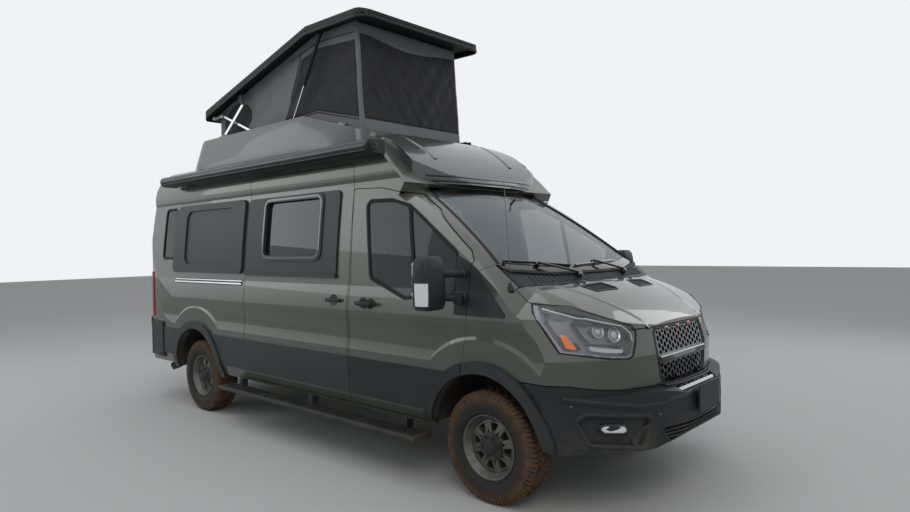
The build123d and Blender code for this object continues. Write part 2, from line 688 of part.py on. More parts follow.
# Black cladding on the fixed body: bands, arch flares, window pods and the mirror sails' fixed part
with BuildPart() as cladding:
    for sign in SIDES.values():
        near, far = side_range(sign)
        door_cut = side_prism(FRONT_DOOR, 20, near, far, GAP / 2)
        band = proud_trim & side_prism(BAND, 10, near, far)
        for ring in rings[sign]:
            band = band - ring
        add(band - door_cut - arch_cuts.part)
        front_ring = (proud_flare & rings[sign][0]) - door_cut
        add(front_ring & box(-1300, 1300, -3000, -1800, SILL_Z, 1000))
        add(proud_flare & rings[sign][1])
        add((proud_trim & side_prism(SAIL, 15, near, far)) - door_cut)
        pod_window = side_prism(SLIDING_WINDOW, 45, near, far, -12)
        add((proud_pod & side_prism(DOOR_POD, 40, near, far)) - pod_window)
        window_frame = side_prism(SLIDING_WINDOW, 45, near, far, 34) - pod_window
        add(proud_flare & window_frame)
        add(proud_flare & side_prism(POD_LEDGE, 10, near, far))
        recess = (flare_outer & side_prism(QUARTER_RECESS, 90, near, far)) - trim_outer
        add((proud_flare & side_prism(QUARTER_POD, 60, near, far)) - recess)
save(cladding, "cladding")

# Black trim that moves with each front door: band, flare, sail, mirror and handle.
# The mirror head's rows are (height, width, depth, corner radius).
MIRROR = (1250, -1750)
MIRROR_HEAD = [(1236, 140, 90, 40), (1290, 184, 130, 56), (1430, 192, 138, 60), (1520, 172, 122, 54),
               (1556, 118, 70, 30)]
for side, sign in SIDES.items():
    near, far = side_range(sign)
    door_face = side_prism(FRONT_DOOR, 20, near, far, -GAP / 2)
    with BuildPart() as door_trim:
        add(((proud_trim & side_prism(BAND, 10, near, far)) & door_face) - rings[sign][0] - arch_cuts.part)
        add((proud_flare & rings[sign][0]) & door_face)
        add(((proud_trim & side_prism(SAIL, 15, near, far)) & door_face))
        for z in (1300, 1450):
            with BuildSketch(Plane.YZ.offset(sign * 985)):
                with Locations((-1820, z)):
                    RectangleRounded(70, 46, 18)
            with BuildSketch(Plane.YZ.offset(sign * 1175)):
                with Locations((-1765, z)):
                    RectangleRounded(60, 36, 16)
            loft()
        for z, width, depth, corner in MIRROR_HEAD:
            with BuildSketch(Plane.XY.offset(z)):
                with Locations((sign * MIRROR[0], MIRROR[1])):
                    RectangleRounded(width, depth, corner)
        loft()
        handle_x = sign * 1042
        add(Pos(handle_x, -890, 1215) * Box(26, 150, 34, mode=Mode.PRIVATE))
        add(outer, mode=Mode.SUBTRACT)
    save(door_trim, f"front_door_trim_{side}")

# Rear bumper: a low step between two taller corners, each notched under the rear door's lowest hinge
BUMPER_NOTCH = (2900, 800)
with BuildPart() as bumper_zone:
    add(box(-906, 906, 2700, 3100, 490, 625))
    for near, far in ((905, 1200), (-1200, -905)):
        add(box(near, far, 2530, BUMPER_NOTCH[0], 480, 860))
        add(box(near, far, 2530, 3100, 480, BUMPER_NOTCH[1]))
with BuildPart() as rear_bumper:
    add(van_volume(-BUMPER_PROUD) - outer)
    add(bumper_zone.part, mode=Mode.INTERSECT)
    add(box(-860, 860, 2940, -NOSE_Y, 585, 625))
    add(outer, mode=Mode.SUBTRACT)
save(rear_bumper, "rear_bumper")

# Wheel houses: a round pressing over each wheel, closed on its inner side
HOUSE_RADIUS = ARCH_OPENING + 12
HOUSE_WALL = 10
HOUSE_SIDE = {FRONT_AXLE_Y: 545, REAR_AXLE_Y: 690}


def wheel_house_discs(grow):
    """Round blocks over the wheels, from the houses' inner sides out past the body, grown by some amount."""
    with BuildPart() as discs:
        for y, z in ARCHES:
            near = HOUSE_SIDE[y] - grow
            add(axle_disc(y, z, HOUSE_RADIUS + grow, near, 1200))
            add(axle_disc(y, z, HOUSE_RADIUS + grow, -1200, -near))
    return discs.part


with BuildPart() as wheel_houses:
    add(wheel_house_discs(HOUSE_WALL))
    add(box(-1200, 1200, -3200, 3200, 200, 445), mode=Mode.SUBTRACT)
    add(inner, mode=Mode.INTERSECT)
    add(wheel_house_discs(0), mode=Mode.SUBTRACT)
save(wheel_houses, "wheel_houses")

# Floor: plate, rails, crossmembers, sills and bulkhead, welded into one frame
RAIL_Y = (-2640, 2880)
CROSSMEMBERS = [-2615, -1380, -450, 620, 1290, 2330, 2700]
with BuildPart() as floor_frame:
    add(box(-1000, 1000, -1500, 2885, 660, 690))
    add(box(-540, 540, -1840, -1500, 660, 690))
    add(box(-930, 930, -1875, -1845, 862, 1300))
    add(box(-540, 540, -1875, -1845, 660, 870))
    for sign in SIDES.values():
        add(box(min(sign * 870, sign * 1000), max(sign * 870, sign * 1000), -1490, 1310, 445, 662))
    add(inner, mode=Mode.INTERSECT)
    add(wheel_house_discs(HOUSE_WALL + 1), mode=Mode.SUBTRACT)
    for sign in SIDES.values():
        with Locations((sign * 465, sum(RAIL_Y) / 2, 590)):
            Box(70, RAIL_Y[1] - RAIL_Y[0], 120)
    for y in CROSSMEMBERS:
        with Locations((0, y, 585)):
            Box(900, 70, 80)
save(floor_frame, "floor_frame")

# Engine and gearbox as one plain block between the rails
with BuildPart() as engine:
    with Locations((0, -2250, 780)):
        Box(520, 620, 520)
    with Locations((0, -1720, 540)):
        Box(300, 460, 220)
save(engine, "engine")

# Front suspension: subframe, lower arms, struts and steering rack
with BuildPart() as front_suspension:
    with Locations((0, FRONT_AXLE_Y, 330)):
        Box(760, 420, 60)
    for sign in SIDES.values():
        with BuildSketch(Plane.XY.offset(262)):
            with BuildLine():
                Polyline(
                    (sign * 380, FRONT_AXLE_Y - 190),
                    (sign * 740, FRONT_AXLE_Y - 30),
                    (sign * 740, FRONT_AXLE_Y + 30),
                    (sign * 380, FRONT_AXLE_Y + 190),
                    close=True,
                )
            make_face()
        extrude(amount=38)
        with Locations((sign * 465, FRONT_AXLE_Y, 435)):
            Box(90, 120, 190)
    with BuildSketch(Plane.YZ.offset(-560)):
        with Locations((FRONT_AXLE_Y + 150, 400)):
            Circle(28)
    extrude(amount=1120)
save(front_suspension, "front_suspension")

# Rear axle: beam with differential, leaf springs and dampers
with BuildPart() as rear_axle:
    with BuildSketch(Plane.YZ.offset(-735)):
        with Locations((REAR_AXLE_Y, WHEEL_RADIUS)):
            Circle(45)
    extrude(amount=1470)
    with BuildSketch(Plane.YZ.offset(-130)):
        with Locations((REAR_AXLE_Y, WHEEL_RADIUS)):
            Circle(150)
    extrude(amount=260)
    for sign in SIDES.values():
        with BuildSketch(Plane.YZ.offset(sign * 560 - 32)):
            with BuildLine():
                ThreePointArc((REAR_AXLE_Y - 620, 500), (REAR_AXLE_Y, 385), (REAR_AXLE_Y + 620, 500))
                ThreePointArc((REAR_AXLE_Y + 620, 528), (REAR_AXLE_Y, 422), (REAR_AXLE_Y - 620, 528))
                Line((REAR_AXLE_Y - 620, 500), (REAR_AXLE_Y - 620, 528))
                Line((REAR_AXLE_Y + 620, 500), (REAR_AXLE_Y + 620, 528))
            make_face()
        extrude(amount=64)
        for y in (REAR_AXLE_Y - 600, REAR_AXLE_Y + 600):
            with Locations((sign * 546, y, 555)):
                Box(92, 60, 70)
save(rear_axle, "rear_axle")

# Hitch receiver: a square socket on a cross tube under the rear bumper
SOCKET = 51.5
SOCKET_WALL = 6
SOCKET_OUTSIDE = SOCKET + 2 * SOCKET_WALL
SOCKET_LENGTH = 270
HITCH = (0, 2850, 395)
PIN_HOLE = 7.95
PIN_Y = 2925
BEAM_Y = (2730, 2790)
RAIL_UNDERSIDE = 530
with BuildPart() as hitch_receiver:
    with Locations(HITCH):
        Box(SOCKET_OUTSIDE, SOCKET_LENGTH, SOCKET_OUTSIDE)
    with Locations(HITCH):
        Box(SOCKET, SOCKET_LENGTH + 1, SOCKET, mode=Mode.SUBTRACT)
    with Locations(Plane.YZ):
        with Locations((PIN_Y, HITCH[2])):
            Cylinder(PIN_HOLE, 200, mode=Mode.SUBTRACT)
save(hitch_receiver, "hitch_receiver")
with BuildPart() as hitch_beam:
    add(box(-500, 500, *BEAM_Y, HITCH[2] + SOCKET_OUTSIDE / 2, RAIL_UNDERSIDE))
save(hitch_beam, "hitch_beam")

# Roof cap: the tray on the roof that carries the tent, with a trough round it for the lift arms
LID_SLOPE = (LID_BEND[1] - LID_REAR[1]) / (LID_REAR[0] - LID_BEND[0])
FRONT_SLOPE = (LID_BEND[1] - LID_FRONT[1]) / (LID_BEND[0] - LID_FRONT[0])
CLOSED_SLOPE = math.tan(math.atan(LID_SLOPE) + math.atan(FRONT_SLOPE))
TROUGH = (625, 712)
TROUGH_Z = 2640
TENT_Y = (-390, 1985)


def cap_top(y, below):
    """Height of the cap's top edge, less a drop, where it follows the closed lid."""
    return CAP_RIM_Z - below - max(0, LID_BEND[0] - y) * CLOSED_SLOPE


def cap_profile(below):
    """The cap's side view as a block across the van, its top lowered by some amount."""
    points = [
        (CAP_FRONT_Y - 50, 2300),
        (CAP_FRONT_Y - 50, cap_top(CAP_FRONT_Y - 50, below)),
        (LID_BEND[0], CAP_RIM_Z - below),
        (CAP_REAR_Y + 50, CAP_RIM_Z - below),
        (CAP_REAR_Y + 50, 2300),
    ]
    return side_prism(points, 1, -1000, 1000)


def cap_ring(half, front, rear, corner, z_from, z_to, taper=0):
    """A rounded block seen from above, between two heights."""
    with BuildPart() as ring:
        with BuildSketch(Plane.XY.offset(z_from)):
            with Locations((0, (front + rear) / 2)):
                RectangleRounded(2 * half, rear - front, corner)
        extrude(amount=z_to - z_from, taper=taper)
    return ring.part


with BuildPart() as roof_cap:
    add(cap_ring(CAP_HALF + 22, CAP_FRONT_Y - 22, CAP_REAR_Y + 22, 150, 2440, 2800, 5))
    add(cap_profile(0), mode=Mode.INTERSECT)
    trough = cap_ring(TROUGH[1], CAP_FRONT_Y + 60, CAP_REAR_Y - 42, 110, TROUGH_Z, 2900)
    trough = trough - cap_ring(TROUGH[0], TENT_Y[0] - 15, TENT_Y[1] + 20, 80, TROUGH_Z - 10, 2910)
    add(trough, mode=Mode.SUBTRACT)
    add(cap_ring(TENT_HALF - 26, TENT_Y[0] + 20, TENT_Y[1] - 20, 60, 2300, 2900), mode=Mode.SUBTRACT)
    seat = cap_ring(TROUGH[0] + 5, TENT_Y[0] - 20, TENT_Y[1] + 25, 60, 2300, 2900) - cap_profile(15)
    add(seat, mode=Mode.SUBTRACT)
    add(outer, mode=Mode.SUBTRACT)
save(roof_cap, "roof_cap")

# Nose cap: the dark visor that carries on the windscreen's slope up to the roof cap
with BuildPart() as nose_cap:
    with BuildSketch(Plane.YZ):
        with BuildLine():
            Polyline((-1250, 2098), (-1215, 2165))
            ThreePointArc((-1215, 2165), (-960, 2395), (CAP_FRONT_Y - 28, 2545))
            Polyline((CAP_FRONT_Y - 28, 2545), (CAP_FRONT_Y - 28, 2300), (-1000, 2098), (-1250, 2098))
        make_face()
    extrude(amount=790, both=True)
    with BuildSketch(Plane.XY.offset(2050)):
        with BuildLine():
            ThreePointArc((-760, -1120), (0, -1262), (760, -1120))
            Polyline((760, -1120), (800, -600), (-800, -600), (-760, -1120))
        make_face()
    extrude(amount=600, mode=Mode.INTERSECT)
    with BuildSketch(Plane.XZ.offset(1300)):
        with BuildLine():
            Polyline((-900, 2000), (-860, 2200))
            ThreePointArc((-860, 2200), (-770, 2460), (-560, 2520))
            ThreePointArc((-560, 2520), (0, 2560), (560, 2520))
            ThreePointArc((560, 2520), (770, 2460), (860, 2200))
            Polyline((860, 2200), (900, 2000), (-900, 2000))
        make_face()
    extrude(amount=-800, mode=Mode.INTERSECT)
    add(outer, mode=Mode.SUBTRACT)
save(nose_cap, "nose_cap")

# Low ventilator housing behind the cap
with BuildPart() as roof_unit:
    with BuildSketch(Plane.XY.offset(2592)):
        with Locations((0, 2440)):
            RectangleRounded(620, 480, 60)
    extrude(amount=95, taper=12)
    with BuildSketch(Plane.XY.offset(2560)):
        with Locations((0, 2440)):
            RectangleRounded(380, 380, 20)
    extrude(amount=34)
    add(outer, mode=Mode.SUBTRACT)
save(roof_unit, "roof_unit")


def lid_edge(y):
    """Height of the raised lid's lower edge."""
    if y > LID_BEND[0]:
        return LID_REAR[1] + (LID_REAR[0] - y) * LID_SLOPE
    return LID_BEND[1] - (LID_BEND[0] - y) * FRONT_SLOPE


LID_THICK = 75
LID_SKIN = 28
LID_RIM = 22

# Lid of the pop-top: a bent shell with a deep rim
with BuildPart() as roof_lid:
    with BuildSketch(Plane.YZ.offset(-LID_HALF)):
        with BuildLine():
            Polyline(LID_REAR, LID_BEND, LID_FRONT, (LID_FRONT[0] + 4, LID_FRONT[1] + LID_THICK - 12))
            Polyline(
                (LID_FRONT[0] + 4, LID_FRONT[1] + LID_THICK - 12),
                (LID_FRONT[0] + 60, LID_FRONT[1] + LID_THICK),
                (LID_BEND[0] - 10, LID_BEND[1] + LID_THICK),
                (LID_REAR[0] + 16, LID_REAR[1] + LID_THICK - 4),
                LID_REAR,
            )
        make_face()
    extrude(amount=2 * LID_HALF)
    add(cap_ring(LID_HALF, LID_FRONT[0], LID_REAR[0] + 20, 120, 2900, 3700), mode=Mode.INTERSECT)
    with BuildSketch(Plane.YZ.offset(-LID_HALF + LID_RIM)):
        with BuildLine():
            Polyline(
                (LID_REAR[0] - 24, lid_edge(LID_REAR[0] - 24) - 30),
                (LID_BEND[0], LID_BEND[1] - 30),
                (LID_FRONT[0] + 30, lid_edge(LID_FRONT[0] + 30) - 30),
                (LID_FRONT[0] + 30, lid_edge(LID_FRONT[0] + 30) + LID_THICK - LID_SKIN - 10),
                (LID_BEND[0], LID_BEND[1] + LID_THICK - LID_SKIN),
                (LID_REAR[0] - 24, lid_edge(LID_REAR[0] - 24) + LID_THICK - LID_SKIN),
                close=True,
            )
        make_face()
    extrude(amount=2 * (LID_HALF - LID_RIM), mode=Mode.SUBTRACT)
    for sign in SIDES.values():
        with BuildSketch(Plane.YZ.offset(sign * 689 - 5)):
            with BuildLine():
                Polyline((1360, 3080), (1400, 3080), (1500, 3222), (1400, 3245), close=True)
            make_face()
        extrude(amount=10)
save(roof_lid, "roof_lid")

# Tent: a closed band of cloth between the cap's seat and the lid
TENT_SKIN = 10


def tent_block(half, shrink, over):
    """The tent's space, its walls moved in by shrink and its ends carried on by over."""
    front, rear = TENT_Y[0] + shrink, TENT_Y[1] - shrink
    top_front = front + 60
    inside = LID_THICK - LID_SKIN - 2
    points = [
        (front, cap_top(front, 13) - over),
        (LID_BEND[0], CAP_RIM_Z - 13 - over),
        (rear, CAP_RIM_Z - 13 - over),
        (rear, lid_edge(rear) + inside + over),
        (LID_BEND[0], LID_BEND[1] + inside + over),
        (top_front, lid_edge(top_front) + inside - 12 + over),
    ]
    return side_prism(points, 1, -half, half)


with BuildPart() as tent:
    add(tent_block(TENT_HALF, 0, 0))
    add(tent_block(TENT_HALF - TENT_SKIN, TENT_SKIN, 20), mode=Mode.SUBTRACT)
save(tent, "tent")

# Rear lift: hinge rail, thick lower arms and thin stays of the scissor
RAIL_PIN = (1850, 3040)
ARM_FOOT = (1930, 2700)
ARM_TOP = (1380, 3095)
STAY_FOOT = (1030, 2700)


def bar(start, end, height, x_from, x_to):
    """A flat bar with round ends between two points of the side view."""
    middle = ((start[0] + end[0]) / 2, (start[1] + end[1]) / 2)
    tilt = math.degrees(math.atan2(end[1] - start[1], end[0] - start[0]))
    with BuildPart() as piece:
        with BuildSketch(Plane.YZ.offset(x_from)):
            with Locations(middle):
                SlotCenterToCenter(math.dist(start, end), height, rotation=tilt)
        extrude(amount=x_to - x_from)
    return piece.part


with BuildPart() as lift_rail:
    with BuildSketch(Plane.YZ.offset(-657)):
        with Locations(LID_PIVOT):
            Circle(12)
    extrude(amount=2 * 657)
    for sign in SIDES.values():
        near, far = sorted((sign * 652, sign * 657))
        add(bar(RAIL_PIN, LID_PIVOT, 30, near, far))
save(lift_rail, "lift_rail")

with BuildPart() as lift_arms:
    for sign in SIDES.values():
        near, far = sorted((sign * 662, sign * 677))
        add(bar(ARM_FOOT, ARM_TOP, 32, near, far))
save(lift_arms, "lift_arms")

with BuildPart() as lift_stays:
    for sign in SIDES.values():
        near, far = sorted((sign * 635, sign * 647))
        add(bar(STAY_FOOT, RAIL_PIN, 20, near, far))
save(lift_stays, "lift_stays")

# Gas struts that push the front of the lid up
STRUT_TOP = (80, 3510)
STRUT_FOOT = (600, 2700)
STRUT_X = 665
STRUT_LENGTH = math.dist(STRUT_TOP, STRUT_FOOT)
STRUT_DIRECTION = (
    0,
    (STRUT_FOOT[0] - STRUT_TOP[0]) / STRUT_LENGTH,
    (STRUT_FOOT[1] - STRUT_TOP[1]) / STRUT_LENGTH,
)
with BuildPart() as strut_cylinders:
    for sign in SIDES.values():
        with BuildSketch(Plane(origin=(sign * STRUT_X, *STRUT_TOP), z_dir=STRUT_DIRECTION)):
            Circle(14)
        extrude(amount=500)
        with BuildSketch(Plane(origin=(sign * STRUT_X, *STRUT_TOP), z_dir=STRUT_DIRECTION).offset(40)):
            Circle(6.05)
        extrude(amount=460, mode=Mode.SUBTRACT)
save(strut_cylinders, "strut_cylinders")

with BuildPart() as strut_rods:
    for sign in SIDES.values():
        with BuildSketch(Plane(origin=(sign * STRUT_X, *STRUT_TOP), z_dir=STRUT_DIRECTION).offset(445)):
            Circle(6)
        extrude(amount=STRUT_LENGTH - 445)
        with Locations((sign * STRUT_X, *STRUT_FOOT)):
            Sphere(11)
save(strut_rods, "strut_rods")

# Awning: rolled up in its long box beside the roof
with BuildPart() as awning:
    with BuildSketch(Plane.XZ.offset(1000)):
        with BuildLine():
            Polyline((-925, 2306), (-925, 2400), (-1060, 2400))
            ThreePointArc((-1060, 2400), (-1108, 2360), (-1095, 2318))
            Polyline((-1095, 2318), (-1060, 2304), (-925, 2306))
        make_face()
    extrude(amount=-3330)
    for y in (-850, 650, 2150):
        with Locations((-900, y, 2352)):
            Box(60, 60, 70)
    add(outer, mode=Mode.SUBTRACT)
save(awning, "awning")

# Running boards on brackets under the sills
STEP_Y = (-1455, 1170)
with BuildPart() as running_boards:
    for sign in SIDES.values():
        with BuildSketch(Plane.XZ.offset(-STEP_Y[0])):
            with Locations((sign * 1040, 342)):
                RectangleRounded(165, 34, 12)
        extrude(amount=STEP_Y[0] - STEP_Y[1])
        for y in (-1250, -140, 960):
            with Locations((sign * 978, y, 392)):
                Box(60, 50, 76)
save(running_boards, "running_boards")

# Dashboard, seats and living-space furniture
with BuildPart() as dashboard:
    with BuildSketch(Plane.YZ.offset(-870)):
        with BuildLine():
            Polyline((-1840, 950), (-1840, 1300), (-1980, 1345), (-2020, 1372), (-1760, 1372))
            ThreePointArc((-1760, 1372), (-1600, 1340), (-1560, 1230))
            Polyline((-1560, 1230), (-1640, 950), (-1840, 950))
        make_face()
    extrude(amount=1740)
    with Locations((0, -1650, 820)):
        Box(300, 240, 260)
    add(inner, mode=Mode.INTERSECT)
save(dashboard, "dashboard")

with BuildPart() as front_seats:
    for sign in SIDES.values():
        with Locations((sign * 470, -1010, 830)):
            Box(420, 420, 280)
        with Locations((sign * 470, -1020, 1040)):
            Box(500, 520, 140)
        with Locations((sign * 470, -790, 1320)):
            Box(480, 130, 620)
        with Locations((sign * 470, -790, 1690)):
            Box(280, 100, 170)
save(front_seats, "front_seats")

with BuildPart() as furniture:
    with Locations((640, 450, 1145)):
        Box(560, 1500, 910)
    with Locations((0, 2060, 1080)):
        Box(1780, 1500, 60)
    with Locations((0, 2060, 1160)):
        Box(1760, 1480, 100)
    for sign in SIDES.values():
        with Locations((sign * 780, 2520, 870)):
            Box(230, 500, 360)
save(furniture, "furniture")

# Knuckles, hubs and steering arms of the front wheels
for side, sign in SIDES.items():
    with BuildPart() as knuckle:
        with Locations((sign * KINGPIN_X, FRONT_AXLE_Y, WHEEL_RADIUS)):
            Box(44, 110, 190)
        with BuildSketch(Plane.YZ.offset(sign * (KINGPIN_X + 20))):
            with Locations((FRONT_AXLE_Y, WHEEL_RADIUS)):
                Circle(44)
        extrude(amount=sign * 34)
        with Locations((sign * (KINGPIN_X - 20), FRONT_AXLE_Y + 85, WHEEL_RADIUS + 20)):
            Box(30, 80, 30)
        with Locations((sign * KINGPIN_X, FRONT_AXLE_Y, WHEEL_RADIUS)):
            Cylinder(18, 230)
    save(knuckle, f"knuckle_{side}")

# Wheels: tyre and rim, front and rear alike
WHEELS = [("front_left", 1, FRONT_AXLE_Y), ("front_right", -1, FRONT_AXLE_Y),
          ("rear_left", 1, REAR_AXLE_Y), ("rear_right", -1, REAR_AXLE_Y)]
HALF_TYRE = TYRE_WIDTH / 2
RIM_WINDOW = [(106, -17), (172, -32), (172, 32), (106, 17)]
with BuildSketch() as rim_window_outline:
    with BuildLine():
        FilletPolyline(*RIM_WINDOW, radius=9, close=True)
    make_face()
rim_window = rim_window_outline.sketch
for name, sign, y in WHEELS:
    with BuildPart() as tyre:
        with BuildSketch(Plane(origin=(sign * WHEEL_X, y, WHEEL_RADIUS), x_dir=(1, 0, 0), z_dir=(0, -1, 0))):
            with BuildLine():
                Polyline((-95, RIM_RADIUS), (-HALF_TYRE, 250))
                ThreePointArc((-HALF_TYRE, 250), (-HALF_TYRE + 2, 300), (-HALF_TYRE + 14, 336))
                Polyline((-HALF_TYRE + 14, 336), (-84, 352), (-40, WHEEL_RADIUS), (40, WHEEL_RADIUS),
                         (84, 352), (HALF_TYRE - 14, 336))
                ThreePointArc((HALF_TYRE - 14, 336), (HALF_TYRE - 2, 300), (HALF_TYRE, 250))
                Polyline((HALF_TYRE, 250), (95, RIM_RADIUS), (-95, RIM_RADIUS))
            make_face()
        revolve(axis=Axis((0, y, WHEEL_RADIUS), (1, 0, 0)))
    save(tyre, f"tyre_{name}")
    with BuildPart() as rim:
        with BuildSketch(Plane(origin=(sign * WHEEL_X, y, WHEEL_RADIUS), x_dir=(sign, 0, 0), z_dir=(0, -sign, 0))):
            with BuildLine():
                Polyline((-95, RIM_RADIUS), (95, RIM_RADIUS), (95, 200), (70, 190), (48, 178), (52, 90),
                         (66, 74), (66, 0), (18, 0), (18, 70), (24, 100), (20, 188), (-85, 188), (-95, 200),
                         (-95, RIM_RADIUS))
            make_face()
        revolve(axis=Axis((0, y, WHEEL_RADIUS), (1, 0, 0)))
        with BuildSketch(Plane(origin=(0, y, WHEEL_RADIUS), z_dir=(sign, 0, 0))):
            with PolarLocations(0, 8):
                add(rim_window)
        extrude(amount=1100, mode=Mode.SUBTRACT)
        with BuildSketch(Plane(origin=(sign * (WHEEL_X + 48), y, WHEEL_RADIUS), z_dir=(sign, 0, 0))):
            with PolarLocations(50, 5):
                Circle(9)
        extrude(amount=30, mode=Mode.SUBTRACT)
    save(rim, f"rim_{name}")

# Steering wheel on its raked column
COLUMN = Plane(origin=(470, -1450, 1190), x_dir=(1, 0, 0), z_dir=(0, 0.87, 0.5))
with BuildPart() as steering_wheel:
    with BuildSketch(Plane(origin=COLUMN.origin, x_dir=COLUMN.z_dir, z_dir=(1, 0, 0))):
        with Locations((0, 182)):
            Circle(15)
    revolve(axis=Axis(COLUMN.origin, COLUMN.z_dir))
    with BuildSketch(COLUMN.offset(-22)):
        Circle(62)
    extrude(amount=34)
    with Locations(COLUMN):
        with Locations((0, 0, -8)):
            Box(350, 34, 14)
    with BuildSketch(COLUMN.offset(-60)):
        Circle(20)
    extrude(amount=42)
save(steering_wheel, "steering_wheel")
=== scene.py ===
import math

import bmesh
import bpy
from mathutils import Matrix, Vector, noise
from mathutils.bvhtree import BVHTree


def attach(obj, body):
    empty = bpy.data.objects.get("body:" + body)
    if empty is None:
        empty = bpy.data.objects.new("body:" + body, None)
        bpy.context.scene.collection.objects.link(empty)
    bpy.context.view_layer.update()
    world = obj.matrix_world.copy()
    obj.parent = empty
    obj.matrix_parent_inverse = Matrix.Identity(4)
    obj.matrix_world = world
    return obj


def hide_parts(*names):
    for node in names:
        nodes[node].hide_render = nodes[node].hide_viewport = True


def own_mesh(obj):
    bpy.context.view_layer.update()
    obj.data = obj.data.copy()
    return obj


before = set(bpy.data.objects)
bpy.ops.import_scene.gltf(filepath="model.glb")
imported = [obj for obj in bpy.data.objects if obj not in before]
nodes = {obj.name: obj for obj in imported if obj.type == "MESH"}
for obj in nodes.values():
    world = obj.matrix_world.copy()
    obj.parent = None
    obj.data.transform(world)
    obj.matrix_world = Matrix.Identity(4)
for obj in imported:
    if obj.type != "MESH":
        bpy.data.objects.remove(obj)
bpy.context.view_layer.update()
scene = bpy.context.scene

# Camera
CAMERA_PLACE = Vector((-4.0767, -4.5386, 1.6205))
FOCAL_PIXELS, PICTURE_PIXELS, SENSOR = 645.34, 910, 36
YAW, PITCH, ROLL = 0.8337, -0.0146, -0.0174
forward = Vector((math.cos(PITCH) * math.sin(YAW), math.cos(PITCH) * math.cos(YAW), math.sin(PITCH)))
level_right = Vector((math.cos(YAW), -math.sin(YAW), 0))
level_up = level_right.cross(forward)
right = math.cos(ROLL) * level_right + math.sin(ROLL) * level_up
up = -math.sin(ROLL) * level_right + math.cos(ROLL) * level_up
camera = bpy.data.objects.new("camera", bpy.data.cameras.new("camera"))
camera.data.lens = FOCAL_PIXELS / PICTURE_PIXELS * SENSOR
camera.data.sensor_width = SENSOR
camera.matrix_world = Matrix.Translation(CAMERA_PLACE) @ Matrix((right, up, -forward)).transposed().to_4x4()
scene.collection.objects.link(camera)
scene.camera = camera
scene.view_settings.view_transform = "Standard"


# Shader maths
class Wire:
    """A value that changes over a surface; sums and products of wires add the nodes for them."""

    def __init__(self, finish, socket):
        self.finish, self.socket = finish, socket

    def maths(self, operation, *values):
        return self.finish.node("Math", {"operation": operation}, dict(enumerate(values)))

    def __add__(self, other): return self.maths("ADD", self, other)
    def __sub__(self, other): return self.maths("SUBTRACT", self, other)
    def __rsub__(self, other): return self.maths("SUBTRACT", other, self)
    def __mul__(self, other): return self.maths("MULTIPLY", self, other)
    def __truediv__(self, other): return self.maths("DIVIDE", self, other)
    def __rtruediv__(self, other): return self.maths("DIVIDE", other, self)
    def __mod__(self, other): return self.maths("FLOORED_MODULO", self, other)
    def __lt__(self, other): return self.maths("LESS_THAN", self, other)
    def __abs__(self): return self.maths("ABSOLUTE", self)
    __radd__ = __add__
    __rmul__ = __mul__

    def low(self, other): return self.maths("MINIMUM", self, other)
    def high(self, other): return self.maths("MAXIMUM", self, other)

    def step(self, start, end):
        """0 before start, 1 after end, smooth between."""
        inputs = {"Value": self, "From Min": start, "From Max": end}
        return self.finish.node("MapRange", {"interpolation_type": "SMOOTHSTEP"}, inputs)


class Finish:
    """A material under construction, from one shader's constants and the wires that vary it."""

    def __init__(self, name, **constants):
        self.material = bpy.data.materials.new(name)
        self.material.use_nodes = True
        self.tree = self.material.node_tree
        self.shader = self.tree.nodes["Principled BSDF"]
        self.output = self.tree.nodes["Material Output"]
        for key, value in constants.items():
            self.set(key, value)
        self.place = self.node("TexCoord", out="Object")
        self.x, self.y, self.z = (
            self.node("SeparateXYZ", {}, {0: self.place}, out) for out in range(3)
        )

    def node(self, kind, settings=None, inputs=None, out=0):
        made = self.tree.nodes.new("ShaderNode" + kind)
        for name, value in (settings or {}).items():
            if name == "stops":
                stops = made.color_ramp.elements
                while len(stops) < len(value):
                    stops.new(0.5)
                for stop, (position, colour) in zip(stops, value):
                    stop.position, stop.color = position, (*colour, 1)
            else:
                setattr(made, name, value)
        for name, value in (inputs or {}).items():
            self.put(made.inputs[name], value)
        return Wire(self, made.outputs[out])

    def put(self, socket, value):
        if isinstance(value, Wire):
            self.tree.links.new(value.socket, socket)
        elif isinstance(value, (tuple, list)) and len(socket.default_value) == 4 and len(value) == 3:
            socket.default_value = (*value, 1)
        else:
            socket.default_value = value

    def set(self, key, value):
        self.put(self.shader.inputs[key.replace("_", " ")], value)
        return self

    def noise(self, scale, detail=3.0, rough=0.55, place=None, stretch=None):
        where = place or self.place
        if stretch:
            where = self.node("VectorMath", {"operation": "MULTIPLY"}, {0: where, 1: stretch})
        inputs = {"Vector": where, "Scale": scale, "Detail": detail, "Roughness": rough}
        return self.node("TexNoise", {}, inputs)

    def blend(self, share, first, second):
        return self.node("Mix", {"data_type": "RGBA"}, {0: share, 6: first, 7: second}, 2)

    def bump(self, height, strength=0.3, distance=0.001):
        made = self.node("Bump", {}, {"Height": height, "Strength": strength, "Distance": distance})
        self.tree.links.new(made.socket, self.shader.inputs["Normal"])
        return self


def dusty(finish, colour, rough, dust=(0.16, 0.14, 0.115), top=0.75, most=0.5):
    """Road dust that thickens towards the ground, over a colour and a roughness."""
    low = 1 - finish.z.step(0.25, top)
    share = (low * finish.noise(6, 5).step(0.3, 0.75) * most).low(1)
    finish.set("Base Color", finish.blend(share, colour, dust))
    finish.set("Roughness", share * 0.45 + rough)
    return share


# Finishes
PAINT = (0.058, 0.064, 0.048)


def olive_paint():
    f = Finish("olive_paint", Metallic=0.2, Coat_Weight=0.8, Coat_Roughness=0.03, Specular_IOR_Level=0.5)
    flake = f.noise(900, 1).step(0.35, 0.65)
    tone = f.blend(flake * 0.35, PAINT, (0.082, 0.090, 0.069))
    dusty(f, tone, 0.36, most=0.35, top=0.62)
    f.bump(f.noise(240, 1), 0.02, 0.0004)
    return f.material


